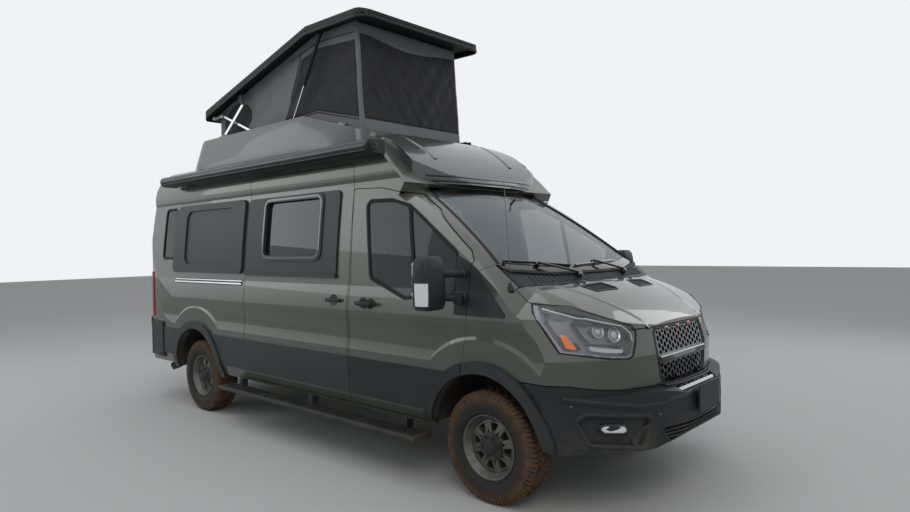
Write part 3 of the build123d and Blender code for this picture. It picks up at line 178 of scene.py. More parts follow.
def grained_plastic(name, colour=(0.024, 0.025, 0.027), rough=0.5, most=0.35, grain=700):
    f = Finish(name, Specular_IOR_Level=0.28)
    wear = f.noise(11, 4)
    tone = f.blend(wear * 0.5, colour, tuple(c * 1.5 for c in colour))
    dusty(f, tone, rough, most=most)
    f.bump(f.noise(grain, 2), 0.28, 0.0006)
    return f.material


def smooth_finish(name, colour, rough=0.25, metallic=0.0, coat=0.0, mottle=0.15, scale=8, **constants):
    f = Finish(name, Metallic=metallic, Coat_Weight=coat, **constants)
    wear = f.noise(scale, 4)
    f.set("Base Color", f.blend(wear, colour, tuple(min(1, c * (1 + mottle)) for c in colour)))
    f.set("Roughness", wear * 0.12 + rough)
    f.bump(f.noise(420, 2), 0.04, 0.0004)
    return f.material


def glass(name, colour, clear, rough=0.02):
    """Tinted glass as a thin see-through sheet with a hard gloss."""
    f = Finish(name, Roughness=rough, Specular_IOR_Level=0.4, Coat_Weight=0.15, Coat_Roughness=0.01)
    f.set("Base Color", f.blend(f.noise(3, 2), colour, tuple(c * 1.2 for c in colour)))
    f.set("Alpha", f.noise(5, 2) * 0.05 + (1 - clear))
    return f.material


def woven(name, colour, pitch=0.0012, light=1.35, rough=0.9, strength=0.5, sheen=0.3):
    """Cloth whose threads follow the piece's own UV map, in metres."""
    f = Finish(name, Sheen_Weight=sheen, Specular_IOR_Level=0.2)
    across = f.node("UVMap", {"uv_map": "cloth"})
    u, v = (f.node("SeparateXYZ", {}, {0: across}, out) for out in (0, 1))
    turns = 2 * math.pi / pitch
    weft = (u * turns).maths("SINE", u * turns)
    warp = (v * turns).maths("SINE", v * turns)
    threads = (weft * warp + 1) * 0.5
    shade = f.noise(3.5, 5, 0.6)
    f.set("Base Color", f.blend(threads * 0.35 + shade * 0.5, colour, tuple(c * light for c in colour)))
    f.set("Roughness", shade * 0.1 + (rough - 0.05))
    f.bump(threads * 0.4 + f.noise(60, 3) * 0.6, strength, 0.0008)
    return f.material


def mesh_cloth():
    """Fly screen: fine black netting that lets some light through."""
    f = Finish("fly_screen", Specular_IOR_Level=0.25, Sheen_Weight=0.2)
    across = f.node("UVMap", {"uv_map": "cloth"})
    u, v = (f.node("SeparateXYZ", {}, {0: across}, out) for out in (0, 1))
    pitch = 0.0022
    holes = abs(u / pitch % 1.0 - 0.5).high(abs(v / pitch % 1.0 - 0.5)) < 0.24
    shade = f.noise(2.5, 4)
    f.set("Base Color", f.blend(shade, (0.012, 0.012, 0.013), (0.03, 0.03, 0.033)))
    f.set("Roughness", shade * 0.1 + 0.75)
    f.set("Alpha", 1 - holes * 0.12)
    f.bump(f.noise(40, 3), 0.3, 0.001)
    return f.material


def muddy_tyre():
    """Tread rubber with dried brown mud on the shoulders, more of it further from the hub."""
    f = Finish("muddy_tyre", Specular_IOR_Level=0.3)
    reach = f.node("UVMap", {"uv_map": "reach"})
    out = f.node("SeparateXYZ", {}, {0: reach}, 0)
    clods = f.noise(16, 6, 0.7)
    mud = (out.step(0.262, 0.335) * clods.step(0.36, 0.56) * 0.9 + out.step(0.235, 0.3) * 0.22).low(1)
    brown = f.blend(f.noise(30, 4), (0.075, 0.042, 0.02), (0.15, 0.092, 0.05))
    f.set("Base Color", f.blend(mud, (0.02, 0.019, 0.018), brown))
    f.set("Roughness", mud * 0.25 + 0.68)
    f.bump(clods * 0.5 + f.noise(90, 4) * 0.5, 0.5, 0.003)
    return f.material


def windscreen_glass():
    """Clear glass with the black border printed on it and a dark band along the top."""
    f = Finish("windscreen_glass", Roughness=0.02, Specular_IOR_Level=0.6, Coat_Weight=0.4, Coat_Roughness=0.01)
    edge = (f.z.step(1.985, 2.04)).high(1 - f.z.step(1.462, 1.495))
    lean = (2.07 - f.z) * 0.32
    side = (abs(f.x) - lean).step(0.625, 0.655)
    border = edge.high(side).low(1)
    f.set("Base Color", f.blend(border, (0.19, 0.25, 0.27), (0.006, 0.006, 0.007)))
    f.set("Alpha", border * 0.62 + 0.36)
    return f.material


def laminate():
    f = Finish("cabinet_laminate", Specular_IOR_Level=0.4)
    grain = f.noise(5, 6, 0.65, stretch=(12, 1.2, 12))
    f.set("Base Color", f.blend(grain.step(0.35, 0.65), (0.30, 0.25, 0.19), (0.42, 0.36, 0.28)))
    f.set("Roughness", grain * 0.15 + 0.4)
    f.bump(grain, 0.08, 0.001)
    return f.material


def rim_finish():
    f = Finish("wheel_enamel", Metallic=0.65)
    grime = f.noise(14, 5)
    f.set("Base Color", f.blend(grime.step(0.4, 0.75), (0.13, 0.135, 0.12), (0.085, 0.075, 0.06)))
    f.set("Roughness", grime * 0.3 + 0.32)
    f.bump(f.noise(160, 3), 0.12, 0.0006)
    return f.material


def brushed(name, colour, rough=0.28, along=(1, 40, 40)):
    f = Finish(name, Metallic=1.0)
    lines = f.noise(40, 4, 0.6, stretch=along)
    f.set("Base Color", f.blend(lines, colour, tuple(min(1, c * 1.25) for c in colour)))
    f.set("Roughness", lines * 0.15 + rough)
    f.bump(lines, 0.06, 0.0004)
    return f.material


def lamp_glow(name, colour, strength=0.25, rough=0.12):
    f = Finish(name, Roughness=rough, Coat_Weight=0.8, Emission_Strength=strength)
    ribs = (f.z * 900).maths("SINE", f.z * 900) * 0.5 + 0.5
    tone = f.blend(ribs * 0.4, colour, tuple(min(1, c * 1.5 + 0.02) for c in colour))
    f.set("Base Color", tone)
    f.set("Emission Color", tone)
    f.bump(ribs, 0.2, 0.001)
    return f.material


paint = olive_paint()
black_plastic = grained_plastic("black_plastic", (0.018, 0.019, 0.021))
pod_plastic = grained_plastic("pod_plastic", (0.03, 0.032, 0.035), 0.42, 0.1)
gloss_black = smooth_finish("gloss_black", (0.008, 0.0085, 0.009), 0.1, coat=0.6)
cap_gelcoat = smooth_finish("cap_gelcoat", (0.06, 0.068, 0.064), 0.3, coat=0.35, mottle=0.3, scale=3)
visor_gelcoat = smooth_finish("visor_gelcoat", (0.045, 0.05, 0.05), 0.22, coat=0.7, mottle=0.3, scale=3)
lid_plastic = grained_plastic("lid_plastic", (0.014, 0.0145, 0.0155), 0.55, 0.0, 300)
rubber = grained_plastic("rubber", (0.01, 0.01, 0.01), 0.7, 0.2)
dark_glass = glass("dark_glass", (0.012, 0.014, 0.016), 0.14)
door_glass = glass("door_glass", (0.030, 0.042, 0.045), 0.5)
screen_glass = windscreen_glass()
underbody = grained_plastic("underbody", (0.022, 0.02, 0.018), 0.7, 0.6, 200)
frame_enamel = smooth_finish("frame_enamel", (0.06, 0.063, 0.055), 0.5, scale=6)
tent_cloth = woven("tent_cloth", (0.165, 0.172, 0.182))
fly_screen = mesh_cloth()
seat_cloth = woven("seat_cloth", (0.03, 0.031, 0.034), 0.003, 1.6, strength=0.7)
bed_cloth = woven("bed_cloth", (0.32, 0.31, 0.29), 0.002)
muddy = muddy_tyre()
wheel_enamel = rim_finish()
silver = brushed("silver", (0.55, 0.56, 0.57))
case_anodised = smooth_finish("case_anodised", (0.035, 0.038, 0.04), 0.33, metallic=0.7, mottle=0.2, scale=2)
chrome = smooth_finish("chrome", (0.75, 0.76, 0.77), 0.04, metallic=1.0, mottle=0.05)
dash_plastic = grained_plastic("dash_plastic", (0.02, 0.021, 0.022), 0.6, 0.0)
wood = laminate()
iron = smooth_finish("cast_iron", (0.10, 0.095, 0.09), 0.55, metallic=0.6, mottle=0.6, scale=20)
amber = lamp_glow("amber_lens", (0.8, 0.16, 0.01), 0.15)
red_lens = lamp_glow("red_lens", (0.3, 0.008, 0.008), 0.05)
white_lens = lamp_glow("white_lens", (0.6, 0.62, 0.64), 0.1)
lamp_dark = smooth_finish("lamp_housing", (0.05, 0.055, 0.06), 0.2, metallic=0.4, coat=0.3)
lamp_body = smooth_finish("lamp_body", (0.24, 0.25, 0.27), 0.3, metallic=0.5, mottle=0.2, scale=5)
silver_trim = smooth_finish("silver_trim", (0.5, 0.51, 0.53), 0.22, metallic=0.8, mottle=0.1)
lamp_cover = glass("lamp_cover", (0.25, 0.27, 0.28), 0.86, 0.03)
plate_enamel = smooth_finish("plate_enamel", (0.55, 0.56, 0.56), 0.4, coat=0.2)
mirror_glass = smooth_finish("mirror_glass", (0.6, 0.62, 0.64), 0.02, metallic=1.0, mottle=0.02)

CAD_FINISHES = {
    paint: "body_shell sliding_door front_door_left front_door_right rear_door_left rear_door_right hood "
           "front_panels",
    black_plastic: "cowl front_bumper front_door_trim_left front_door_trim_right rear_bumper running_boards "
                   "roof_unit",
    pod_plastic: "cladding",
    gloss_black: "grille",
    lamp_cover: "lamp_covers",
    lamp_body: "front_lamps",
    red_lens: "tail_lamps",
    door_glass: "front_door_glass_left front_door_glass_right",
    dark_glass: "rear_door_glass_left rear_door_glass_right side_glass",
    screen_glass: "windscreen",
    frame_enamel: "floor_frame",
    underbody: "front_suspension rear_axle hitch_receiver hitch_beam wheel_houses",
    iron: "engine knuckle_left knuckle_right",
    cap_gelcoat: "roof_cap",
    visor_gelcoat: "nose_cap",
    lid_plastic: "roof_lid",
    silver: "lift_arms lift_stays lift_rail",
    rubber: "strut_cylinders",
    chrome: "strut_rods",
    case_anodised: "awning",
    dash_plastic: "dashboard steering_wheel",
    wood: "furniture",
    muddy: "tyre_front_left tyre_front_right tyre_rear_left tyre_rear_right",
    wheel_enamel: "rim_front_left rim_front_right rim_rear_left rim_rear_right",
    tent_cloth: "tent",
    seat_cloth: "front_seats",
}
for finish, names in CAD_FINISHES.items():
    for name in names.split():
        slots = nodes[name].data.materials
        slots.clear()
        slots.append(finish)

# Floor, backdrop and lamps
def background(name, base):
    """A pale surface that the camera, glass and gloss see as it is written."""
    f = Finish(name, Roughness=0.9, Specular_IOR_Level=0.1)
    f.set("Base Color", f.blend(f.noise(0.4, 3), base, tuple(c * 0.97 for c in base)))
    return f.material


floor_mesh = bpy.data.meshes.new("floor")
floor_mesh.from_pydata([(-40, -40, 0), (40, -40, 0), (40, 40, 0), (-40, 40, 0)], [], [(0, 1, 2, 3)])
floor = bpy.data.objects.new("floor", floor_mesh)
scene.collection.objects.link(floor)
floor_mesh.materials.append(background("pale_floor", (0.62, 0.62, 0.61)))

world = bpy.data.worlds.new("studio")
scene.world = world
world.use_nodes = True
sky = world.node_tree
sky.nodes.clear()
path = sky.nodes.new("ShaderNodeLightPath")


def sky_glow(colour, strength):
    made = sky.nodes.new("ShaderNodeBackground")
    made.inputs["Color"].default_value = (*colour, 1)
    made.inputs["Strength"].default_value = strength
    return made.outputs[0]


# The camera, gloss and glass see the backdrop; the object is lit by the plainer glow
choice = sky.nodes.new("ShaderNodeMixShader")
share = path.outputs["Is Camera Ray"]
for ray in ("Is Glossy Ray", "Is Transmission Ray"):
    either = sky.nodes.new("ShaderNodeMath")
    either.operation = "MAXIMUM"
    sky.links.new(share, either.inputs[0])
    sky.links.new(path.outputs[ray], either.inputs[1])
    share = either.outputs[0]
sky.links.new(share, choice.inputs[0])
sky.links.new(sky_glow((0.93, 0.96, 1.0), 0.38), choice.inputs[1])
sky.links.new(sky_glow((0.87, 0.89, 0.92), 1.0), choice.inputs[2])
sky.links.new(choice.outputs[0], sky.nodes.new("ShaderNodeOutputWorld").inputs[0])

LAMPS = [
    ("key", (-6.5, -7.0, 7.5), 5.0, 200, (1.0, 0.98, 0.95)),
    ("top", (-1.0, 1.0, 8.5), 7.0, 150, (0.95, 0.97, 1.0)),
    ("far", (7.0, -4.0, 5.0), 4.0, 80, (1.0, 1.0, 1.0)),
    ("rear", (-6.0, 7.0, 5.0), 5.0, 100, (0.97, 0.98, 1.0)),
]
for name, place, size, power, colour in LAMPS:
    lamp = bpy.data.objects.new(name, bpy.data.lights.new(name, "AREA"))
    lamp.data.size = size
    lamp.data.energy = power
    lamp.data.color = colour
    lamp.location = place
    lamp.rotation_euler = (Vector((0, 0, 1.3)) - Vector(place)).to_track_quat("-Z", "Y").to_euler()
    scene.collection.objects.link(lamp)


# Shapes
SIDES = {"left": 1, "right": -1}


def make(name, verts, faces, finish, body, crease=35, cloth=None, weld=False, level=0):
    """One finished piece from its points and faces, riding on a body of the van."""
    mesh = bpy.data.meshes.new(name)
    mesh.from_pydata([tuple(v) for v in verts], [], [tuple(f) for f in faces])
    for one in finish if isinstance(finish, (list, tuple)) else [finish]:
        mesh.materials.append(one)
    if cloth:
        layer = mesh.uv_layers.new(name=cloth[0])
        for loop in mesh.loops:
            layer.data[loop.index].uv = cloth[1][loop.vertex_index]
    shape = bmesh.new()
    shape.from_mesh(mesh)
    if weld:
        bmesh.ops.remove_doubles(shape, verts=shape.verts, dist=1e-5)
    bmesh.ops.recalc_face_normals(shape, faces=shape.faces)
    shape.to_mesh(mesh)
    shape.free()
    mesh.shade_smooth()
    mesh.set_sharp_from_angle(angle=math.radians(crease))
    made = bpy.data.objects.new(name, mesh)
    scene.collection.objects.link(made)
    if level:
        finer = made.modifiers.new("finer", "SUBSURF")
        finer.levels = finer.render_levels = level
    if body:
        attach(made, body)
    return made


def join(*shapes):
    """Several (points, faces) shapes as one."""
    verts, faces = [], []
    for some_verts, some_faces in shapes:
        base = len(verts)
        verts += list(some_verts)
        faces += [tuple(base + i for i in f) for f in some_faces]
    return verts, faces


def mirrored(shape):
    return [(-v[0], v[1], v[2]) for v in shape[0]], [tuple(reversed(f)) for f in shape[1]]


def rounded(points, radius, steps=5):
    """An outline's points with its corners rounded; radius may be a list, one for each corner."""
    result, count = [], len(points)
    for i in range(count):
        a, b, c = (Vector(points[(i + k) % count]) for k in (-1, 0, 1))
        back, on = (a - b).normalized(), (c - b).normalized()
        half = math.acos(max(-1, min(1, back.dot(on)))) / 2
        size = radius[i] if isinstance(radius, (list, tuple)) else radius
        if half > 1.55 or size <= 0:
            result.append(tuple(b))
            continue
        reach = min(size / math.tan(half), (a - b).length * 0.48, (c - b).length * 0.48)
        size = reach * math.tan(half)
        centre = b + (back + on).normalized() * (size / math.sin(half))
        start, end = b + back * reach - centre, b + on * reach - centre
        first = math.atan2(start.y, start.x)
        turn = (math.atan2(end.y, end.x) - first + math.pi) % (2 * math.pi) - math.pi
        for k in range(steps + 1):
            angle = first + turn * k / steps
            result.append((centre.x + size * math.cos(angle), centre.y + size * math.sin(angle)))
    return result


def dense(points, step, closed=True):
    """The outline with extra points, none further apart than step."""
    result, count = [], len(points)
    for i in range(count if closed else count - 1):
        a, b = Vector(points[i]), Vector(points[(i + 1) % count])
        parts = max(1, math.ceil((b - a).length / step))
        result += [tuple(a.lerp(b, k / parts)) for k in range(parts)]
    return result if closed else result + [tuple(points[-1])]


class Skin:
    """The outer surface of some CAD nodes, on which trim is laid."""

    def __init__(self, *names):
        verts, faces = [], []
        for name in names:
            base = len(verts)
            verts += [v.co.copy() for v in nodes[name].data.vertices]
            faces += [[base + i for i in p.vertices] for p in nodes[name].data.polygons]
        self.tree = BVHTree.FromPolygons(verts, faces)

    def cast(self, start, way):
        """The (place, normal) a line meets; a line that slips through a joint gap is tried beside it."""
        way, start = Vector(way), Vector(start)
        across = Vector((way.y, way.z, way.x)) * 0.012
        for aside in (Vector(), across, -across, way.cross(across), -way.cross(across)):
            place, normal, _, distance = self.tree.ray_cast(start + aside, way)
            if place is not None and distance < start.length + 0.2 and (place - start).dot(way) < start.length:
                return place - aside, (-normal if normal.dot(way) > 0 else normal)
        raise ValueError(f"nothing lies at {tuple(start)}")

    def near(self, point):
        """The (place, normal) nearest to a point."""
        place, normal, _, _ = self.tree.find_nearest(point)
        return place, (-normal if normal.dot(point - Vector((0, 0, 1.2))) < 0 else normal)

    def side(self, sign, y, z):
        place, normal = self.cast((sign * 2, y, z), (-sign, 0, 0))
        if place.x * sign < 0.4:
            place, normal = self.cast((sign * 2, y - 0.012, z - 0.012), (-sign, 0, 0))
            place = Vector((place.x, y, z))
        return place, normal

    def front(self, x, z):
        return self.cast((x, -4, z), (0, 1, 0))

    def back(self, x, z):
        return self.cast((x, 4, z), (0, -1, 0))

    def top(self, x, y):
        return self.cast((x, y, 4), (0, 0, -1))


def sweep(path, profile, closed=True, ring=True):
    """A profile of (across, out) points carried along a path of (place, normal) pairs."""
    verts, faces, n, m = [], [], len(path), len(profile)
    for i, (place, normal) in enumerate(path):
        before = path[i - 1][0] if closed or i else place
        after = path[(i + 1) % n][0] if closed or i < n - 1 else place
        across = (after - before).cross(normal).normalized()
        verts += [place + across * a + normal * o for a, o in profile]
    for i in range(n if closed else n - 1):
        j = (i + 1) % n
        for k in range(m if ring else m - 1):
            faces.append((i * m + k, i * m + (k + 1) % m, j * m + (k + 1) % m, j * m + k))
    if ring and not closed:
        faces += [tuple(range(m)), tuple(range(n * m - 1, (n - 1) * m - 1, -1))]
    return verts, faces


def strip(width, out, depth=0.003, sink=0.004, centre=0.0):
    """The section of a rounded rubber or trim strip, width across, standing out by out."""
    h = width / 2
    return [(centre - h, -sink), (centre - h, out - depth), (centre - h + depth, out), (centre + h - depth, out),
            (centre + h, out - depth), (centre + h, -sink)]


def tube(points, radius, sides=10, smooth=6):
    """A round bar along points, through a soft curve."""
    line = [Vector(p) for p in points]
    if smooth and len(line) > 2:
        finer = []
        for i in range(len(line) - 1):
            p0, p1, p2, p3 = (line[max(0, min(len(line) - 1, i + k))] for k in (-1, 0, 1, 2))
            for s in range(smooth):
                t = s / smooth
                finer.append(0.5 * ((2 * p1) + (p2 - p0) * t + (2 * p0 - 5 * p1 + 4 * p2 - p3) * t * t
                                    + (3 * p1 - p0 - 3 * p2 + p3) * t ** 3))
        line = finer + [line[-1]]
    verts, faces, n = [], [], len(line)
    reference = Vector((0, 0, 1)) if abs((line[1] - line[0]).normalized().z) < 0.9 else Vector((1, 0, 0))
    for i, place in enumerate(line):
        along = (line[min(n - 1, i + 1)] - line[max(0, i - 1)]).normalized()
        first = along.cross(reference).normalized()
        second = along.cross(first)
        size = radius[i] if isinstance(radius, (list, tuple)) else radius
        for k in range(sides):
            angle = 2 * math.pi * k / sides
            verts.append(place + (first * math.cos(angle) + second * math.sin(angle)) * size)
    for i in range(n - 1):
        for k in range(sides):
            j = (k + 1) % sides
            faces.append((i * sides + k, i * sides + j, (i + 1) * sides + j, (i + 1) * sides + k))
    faces += [tuple(range(sides)), tuple(range(n * sides - 1, (n - 1) * sides - 1, -1))]
    return verts, faces


def turned(profile, centre, axis, sides=32, start=0.0, ring=False):
    """A turned shape: profile is (along, radius) points about an axis through centre; a ring's ends meet."""
    way = Vector(axis).normalized()
    first = way.cross(Vector((0, 0, 1)) if abs(way.z) < 0.9 else Vector((1, 0, 0))).normalized()
    second = way.cross(first)
    verts, faces, m = [], [], len(profile)
    for k in range(sides):
        angle = start + 2 * math.pi * k / sides
        spoke = first * math.cos(angle) + second * math.sin(angle)
        verts += [Vector(centre) + way * a + spoke * r for a, r in profile]
    for k in range(sides):
        j = (k + 1) % sides
        for i in range(m if ring else m - 1):
            faces.append((k * m + i, j * m + i, j * m + (i + 1) % m, k * m + (i + 1) % m))
    if profile[0][1] > 1e-6 and not ring:
        faces.append(tuple(k * m for k in range(sides)))
    if profile[-1][1] > 1e-6 and not ring:
        faces.append(tuple(k * m + m - 1 for k in reversed(range(sides))))
    return verts, faces


def slab(low, high, round_off=0.004, steps=2):
    """A box between two corners with rounded edges."""
    shape = bmesh.new()
    bmesh.ops.create_cube(shape, size=1)
    low, high = Vector(low), Vector(high)
    for v in shape.verts:
        v.co = Vector((low + high) / 2) + Vector(a * b for a, b in zip(v.co, high - low))
    if round_off:
        bmesh.ops.bevel(shape, geom=list(shape.edges), offset=round_off, segments=steps, affect="EDGES",
                        profile=0.5)
    result = [v.co.copy() for v in shape.verts], [tuple(v.index for v in f.verts) for f in shape.faces]
    shape.free()
    return result


def moved(shape, matrix):
    return [matrix @ Vector(v) for v in shape[0]], shape[1]


def plate(outline, place, thick, round_off=0.0):
    """A flat plate: outline is 2-D points, place turns (a, b, height) into a point of the van."""
    n = len(outline)
    inner = outline
    rows = [(outline, 0.0), (outline, thick - round_off)]
    if round_off:
        middle = Vector((sum(p[0] for p in outline) / n, sum(p[1] for p in outline) / n))
        inner = []
        for i in range(n):
            a, b, c = (Vector(outline[(i + k) % n]) for k in (-1, 0, 1))
            side = (c - a).normalized()
            normal = Vector((-side.y, side.x))
            if normal.dot(middle - b) < 0:
                normal = -normal
            inner.append(tuple(b + normal * round_off))
        rows.append((inner, thick))
    verts = [place(a, b, h) for points, h in rows for a, b in points]
    faces = []
    for row in range(len(rows) - 1):
        for i in range(n):
            j = (i + 1) % n
            faces.append((row * n + i, row * n + j, (row + 1) * n + j, (row + 1) * n + i))
    faces += [tuple(reversed(range(n))), tuple(range((len(rows) - 1) * n, len(rows) * n))]
    return verts, faces


PAINTED = ("body_shell", "sliding_door", "front_door_left", "front_door_right", "rear_door_left",
           "rear_door_right", "hood", "front_panels")
GLAZING = ("front_door_glass_left", "front_door_glass_right", "rear_door_glass_left", "rear_door_glass_right",
           "side_glass", "windscreen")
body_skin = Skin(*PAINTED, *GLAZING, "cowl", "front_bumper", "front_lamps", "grille")
outer_skin = Skin(*PAINTED, *GLAZING, "cowl", "front_bumper", "front_lamps", "grille", "cladding",
                  "front_door_trim_left", "front_door_trim_right", "rear_bumper", "tail_lamps")

# Tent
LID_REAR, LID_BEND, LID_FRONT = (2.120, 3.015), (0.230, 3.493), (-0.560, 3.478)
LID_SLOPE = (LID_BEND[1] - LID_REAR[1]) / (LID_REAR[0] - LID_BEND[0])
LID_NOSE_SLOPE = (LID_BEND[1] - LID_FRONT[1]) / (LID_BEND[0] - LID_FRONT[0])
CAP_SLOPE = 0.2732
CAP_RIM = 2.775
TENT_X, TENT_FRONT, TENT_REAR = 0.606, -0.390, 1.985


def lid_edge(y):
    if y > LID_BEND[0]:
        return LID_REAR[1] + (LID_REAR[0] - y) * LID_SLOPE
    return LID_BEND[1] - (LID_BEND[0] - y) * LID_NOSE_SLOPE


def cap_rim(y):
    return CAP_RIM - max(0, LID_BEND[0] - y) * CAP_SLOPE


def tent_fold(s, height, span):
    """How far the cloth stands in or out of its stretched plane."""
    sag = -0.016 * math.sin(math.pi * height) * (0.6 + 0.4 * math.sin(s * 2.1))
    lean = s * 0.8 + height * span * 0.9
    fan = noise.noise(Vector((lean * 7.0, height * 1.2, 3.1)))
    fine = noise.noise(Vector((s * 9 - height * 5, height * 7, 8.4)))
    crumple = noise.noise(Vector((s * 22, height * 17, 1.7)))
    edge = math.sin(math.pi * min(1, max(0, height))) ** 0.5
    return sag + edge * (0.013 * fan + 0.006 * fine + 0.0022 * crumple)


def tent_ring(height):
    """Corner points of the tent at a share of its height, seen from above: left side first."""
    front = TENT_FRONT + 0.060 * height
    return [(TENT_X, TENT_REAR), (TENT_X, front), (-TENT_X, front), (-TENT_X, TENT_REAR)]


def tent_place(s, height, lift=0.0):
    """A point of the cloth: s runs round the tent in 4 sides of length 1, height from 0 to 1."""
    ring = rounded(tent_ring(height), 0.035, 4)
    side = int(s) % 4
    share = s - int(s)
    a, b = (Vector(tent_ring(height)[(side + k) % 4]) for k in (0, 1))
    flat = a.lerp(b, share)
    edge = min(share * (b - a).length, (1 - share) * (b - a).length)
    if edge < 0.035:
        corner = a if share < 0.5 else b
        middle = Vector((0, 0.8))
        pull = 0.010 * (1 - edge / 0.035) ** 2
        flat = flat + (middle - corner).normalized() * pull
    normal = Vector(((b - a).y, -(b - a).x)).normalized()
    if normal.dot(flat - Vector((0, 0.8))) < 0:
        normal = -normal
    low, high = cap_rim(flat.y) - 0.012, lid_edge(flat.y) + 0.040
    if side == 1:
        high = lid_edge(flat.y) + 0.028
    length = (b - a).length
    fold = tent_fold(s * 1.9 + side * 3.3, height, high - low)
    fold *= min(1, edge / 0.12 + 0.25)
    flat = flat + normal * (fold + lift)
    return Vector((flat.x, flat.y, low + (high - low) * height))


WALL_LENGTHS = (2.37, 1.212, 2.37, 1.212)
WALL_STARTS = (0, 2.37, 3.582, 5.952)
HEM = 0.02


def cloth_patch(name, corner_at, columns, rows, finish, lift, thick=0.0012):
    """A panel of tent cloth; corner_at(a, b) gives (s, height) for a and b from 0 to 1."""
    verts, uvs, faces = [], [], []
    for j in range(rows + 1):
        for i in range(columns + 1):
            s, h = corner_at(i / columns, j / rows)
            place = tent_place(s, h, lift)
            verts.append(place)
            side = int(s)
            uvs.append((WALL_STARTS[side] + (s - side) * WALL_LENGTHS[side], place.z))
    for j in range(rows):
        for i in range(columns):
            a = j * (columns + 1) + i
            faces.append((a, a + 1, a + columns + 2, a + columns + 1))
    made = make(name, verts, faces, finish, "van", 180, ("cloth", uvs))
    flat = [max(uv[k] for uv in uvs) - min(uv[k] for uv in uvs) + HEM for k in range(2)]
    skin = made.modifiers.new("thickness", "SOLIDIFY")
    skin.thickness = thick
    skin.offset = 0
    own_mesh(made)
    return made


def tent_side_share(y, z):
    """(share along the right side from its front, height) of a point of the side cloth."""
    low, high = cap_rim(y) - 0.012, lid_edge(y) + 0.040
    height = (z - low) / (high - low)
    front = TENT_FRONT + 0.060 * height
    return (y - front) / (TENT_REAR - front), height


tent_wall = cloth_patch("tent_walls", lambda a, b: (min(a * 4, 3.9999), b), 300, 40, tent_cloth, 0.0)
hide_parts("tent")
# Fly screen that wraps the front corners: across the front, and back along each side
SCREEN_REAR_LOW, SCREEN_REAR_HIGH = (0.74, 2.84), (0.43, 3.29)


def screen_edge(height):
    """Where the fly screen ends on a side: share along the side from the front, at a height."""
    y = SCREEN_REAR_LOW[0] + (SCREEN_REAR_HIGH[0] - SCREEN_REAR_LOW[0]) * height
    return (y - TENT_FRONT) / (TENT_REAR - TENT_FRONT)


def screen_height(share, top_band=0.17, low_band=0.10):
    return low_band + (1 - top_band - low_band) * share


CORNER_GAP, SIDE_TOP_BAND, SCREEN_LOW_BAND = 0.02, 0.17, 0.12


def front_screen(a, b):
    h = screen_height(b, 0.13 + 0.03 * math.cos((a - 0.5) * 2 * math.pi), SCREEN_LOW_BAND)
    return 1 + CORNER_GAP + (1 - 2 * CORNER_GAP) * a, h


def side_screen(sign):
    """The fly screen along one side, from the tent's front corner back."""
    def at(a, b):
        reach = CORNER_GAP + a * (screen_edge(b) - CORNER_GAP)
        return (2 + reach if sign < 0 else 1 - reach), screen_height(b, SIDE_TOP_BAND, SCREEN_LOW_BAND)
    return at


cloth_patch("front_fly_screen", front_screen, 90, 40, fly_screen, 0.004)
for side in ("right", "left"):
    cloth_patch(f"{side}_fly_screen", side_screen(SIDES[side]), 70, 40, fly_screen, 0.004)


def half_round(sign):
    """The rounded rear window of one side's cloth."""
    def at(a, b):
        y = 1.62 - 0.42 * (a - 0.5) * math.sqrt(max(0.03, 1 - (1.9 * (b - 0.45)) ** 2)) * 1.3
        z = 2.83 + 0.30 * b + (1.62 - y) * 0.10
        share, height = tent_side_share(y, z)
        return (2 + share if sign < 0 else 1 - share), min(0.93, height)
    return at


for side in ("right", "left"):
    cloth_patch(f"{side}_rear_fly_screen", half_round(SIDES[side]), 24, 16, fly_screen, 0.005)


# Repeats
def repeat_rule():
    """The node tree that sets a block out in a row, a ring or a screw."""
    tree = bpy.data.node_groups.new("repeat", "GeometryNodeTree")
    for name, kind in (("Block", "Object"), ("Count", "Int"), ("Step", "Vector"), ("Turn", "Vector"),
                       ("Finish", "Material")):
        tree.interface.new_socket(name=name, in_out="INPUT", socket_type="NodeSocket" + kind)
    tree.interface.new_socket(name="Geometry", in_out="OUTPUT", socket_type="NodeSocketGeometry")

    def add(kind, links=(), **settings):
        made = tree.nodes.new(kind)
        for key, value in settings.items():
            setattr(made, key, value)
        for socket, source in links:
            tree.links.new(source, made.inputs[socket])
        return made

    given = add("NodeGroupInput").outputs
    index = add("GeometryNodeInputIndex").outputs[0]
    shift = add("ShaderNodeVectorMath", [(0, given["Step"]), ("Scale", index)], operation="SCALE").outputs[0]
    turn = add("ShaderNodeVectorMath", [(0, given["Turn"]), ("Scale", index)], operation="SCALE").outputs[0]
    points = add("GeometryNodePoints", [("Count", given["Count"]), ("Position", shift)]).outputs[0]
    block = add("GeometryNodeObjectInfo", [("Object", given["Block"])]).outputs["Geometry"]
    placed = add("GeometryNodeInstanceOnPoints", [("Points", points), ("Instance", block), ("Rotation", turn)])
    plain = add("GeometryNodeRealizeInstances", [(0, placed.outputs[0])])
    dressed = add("GeometryNodeSetMaterial", [("Geometry", plain.outputs[0]), ("Material", given["Finish"])])
    add("NodeGroupOutput", [(0, dressed.outputs[0])])
    return tree


REPEAT = repeat_rule()


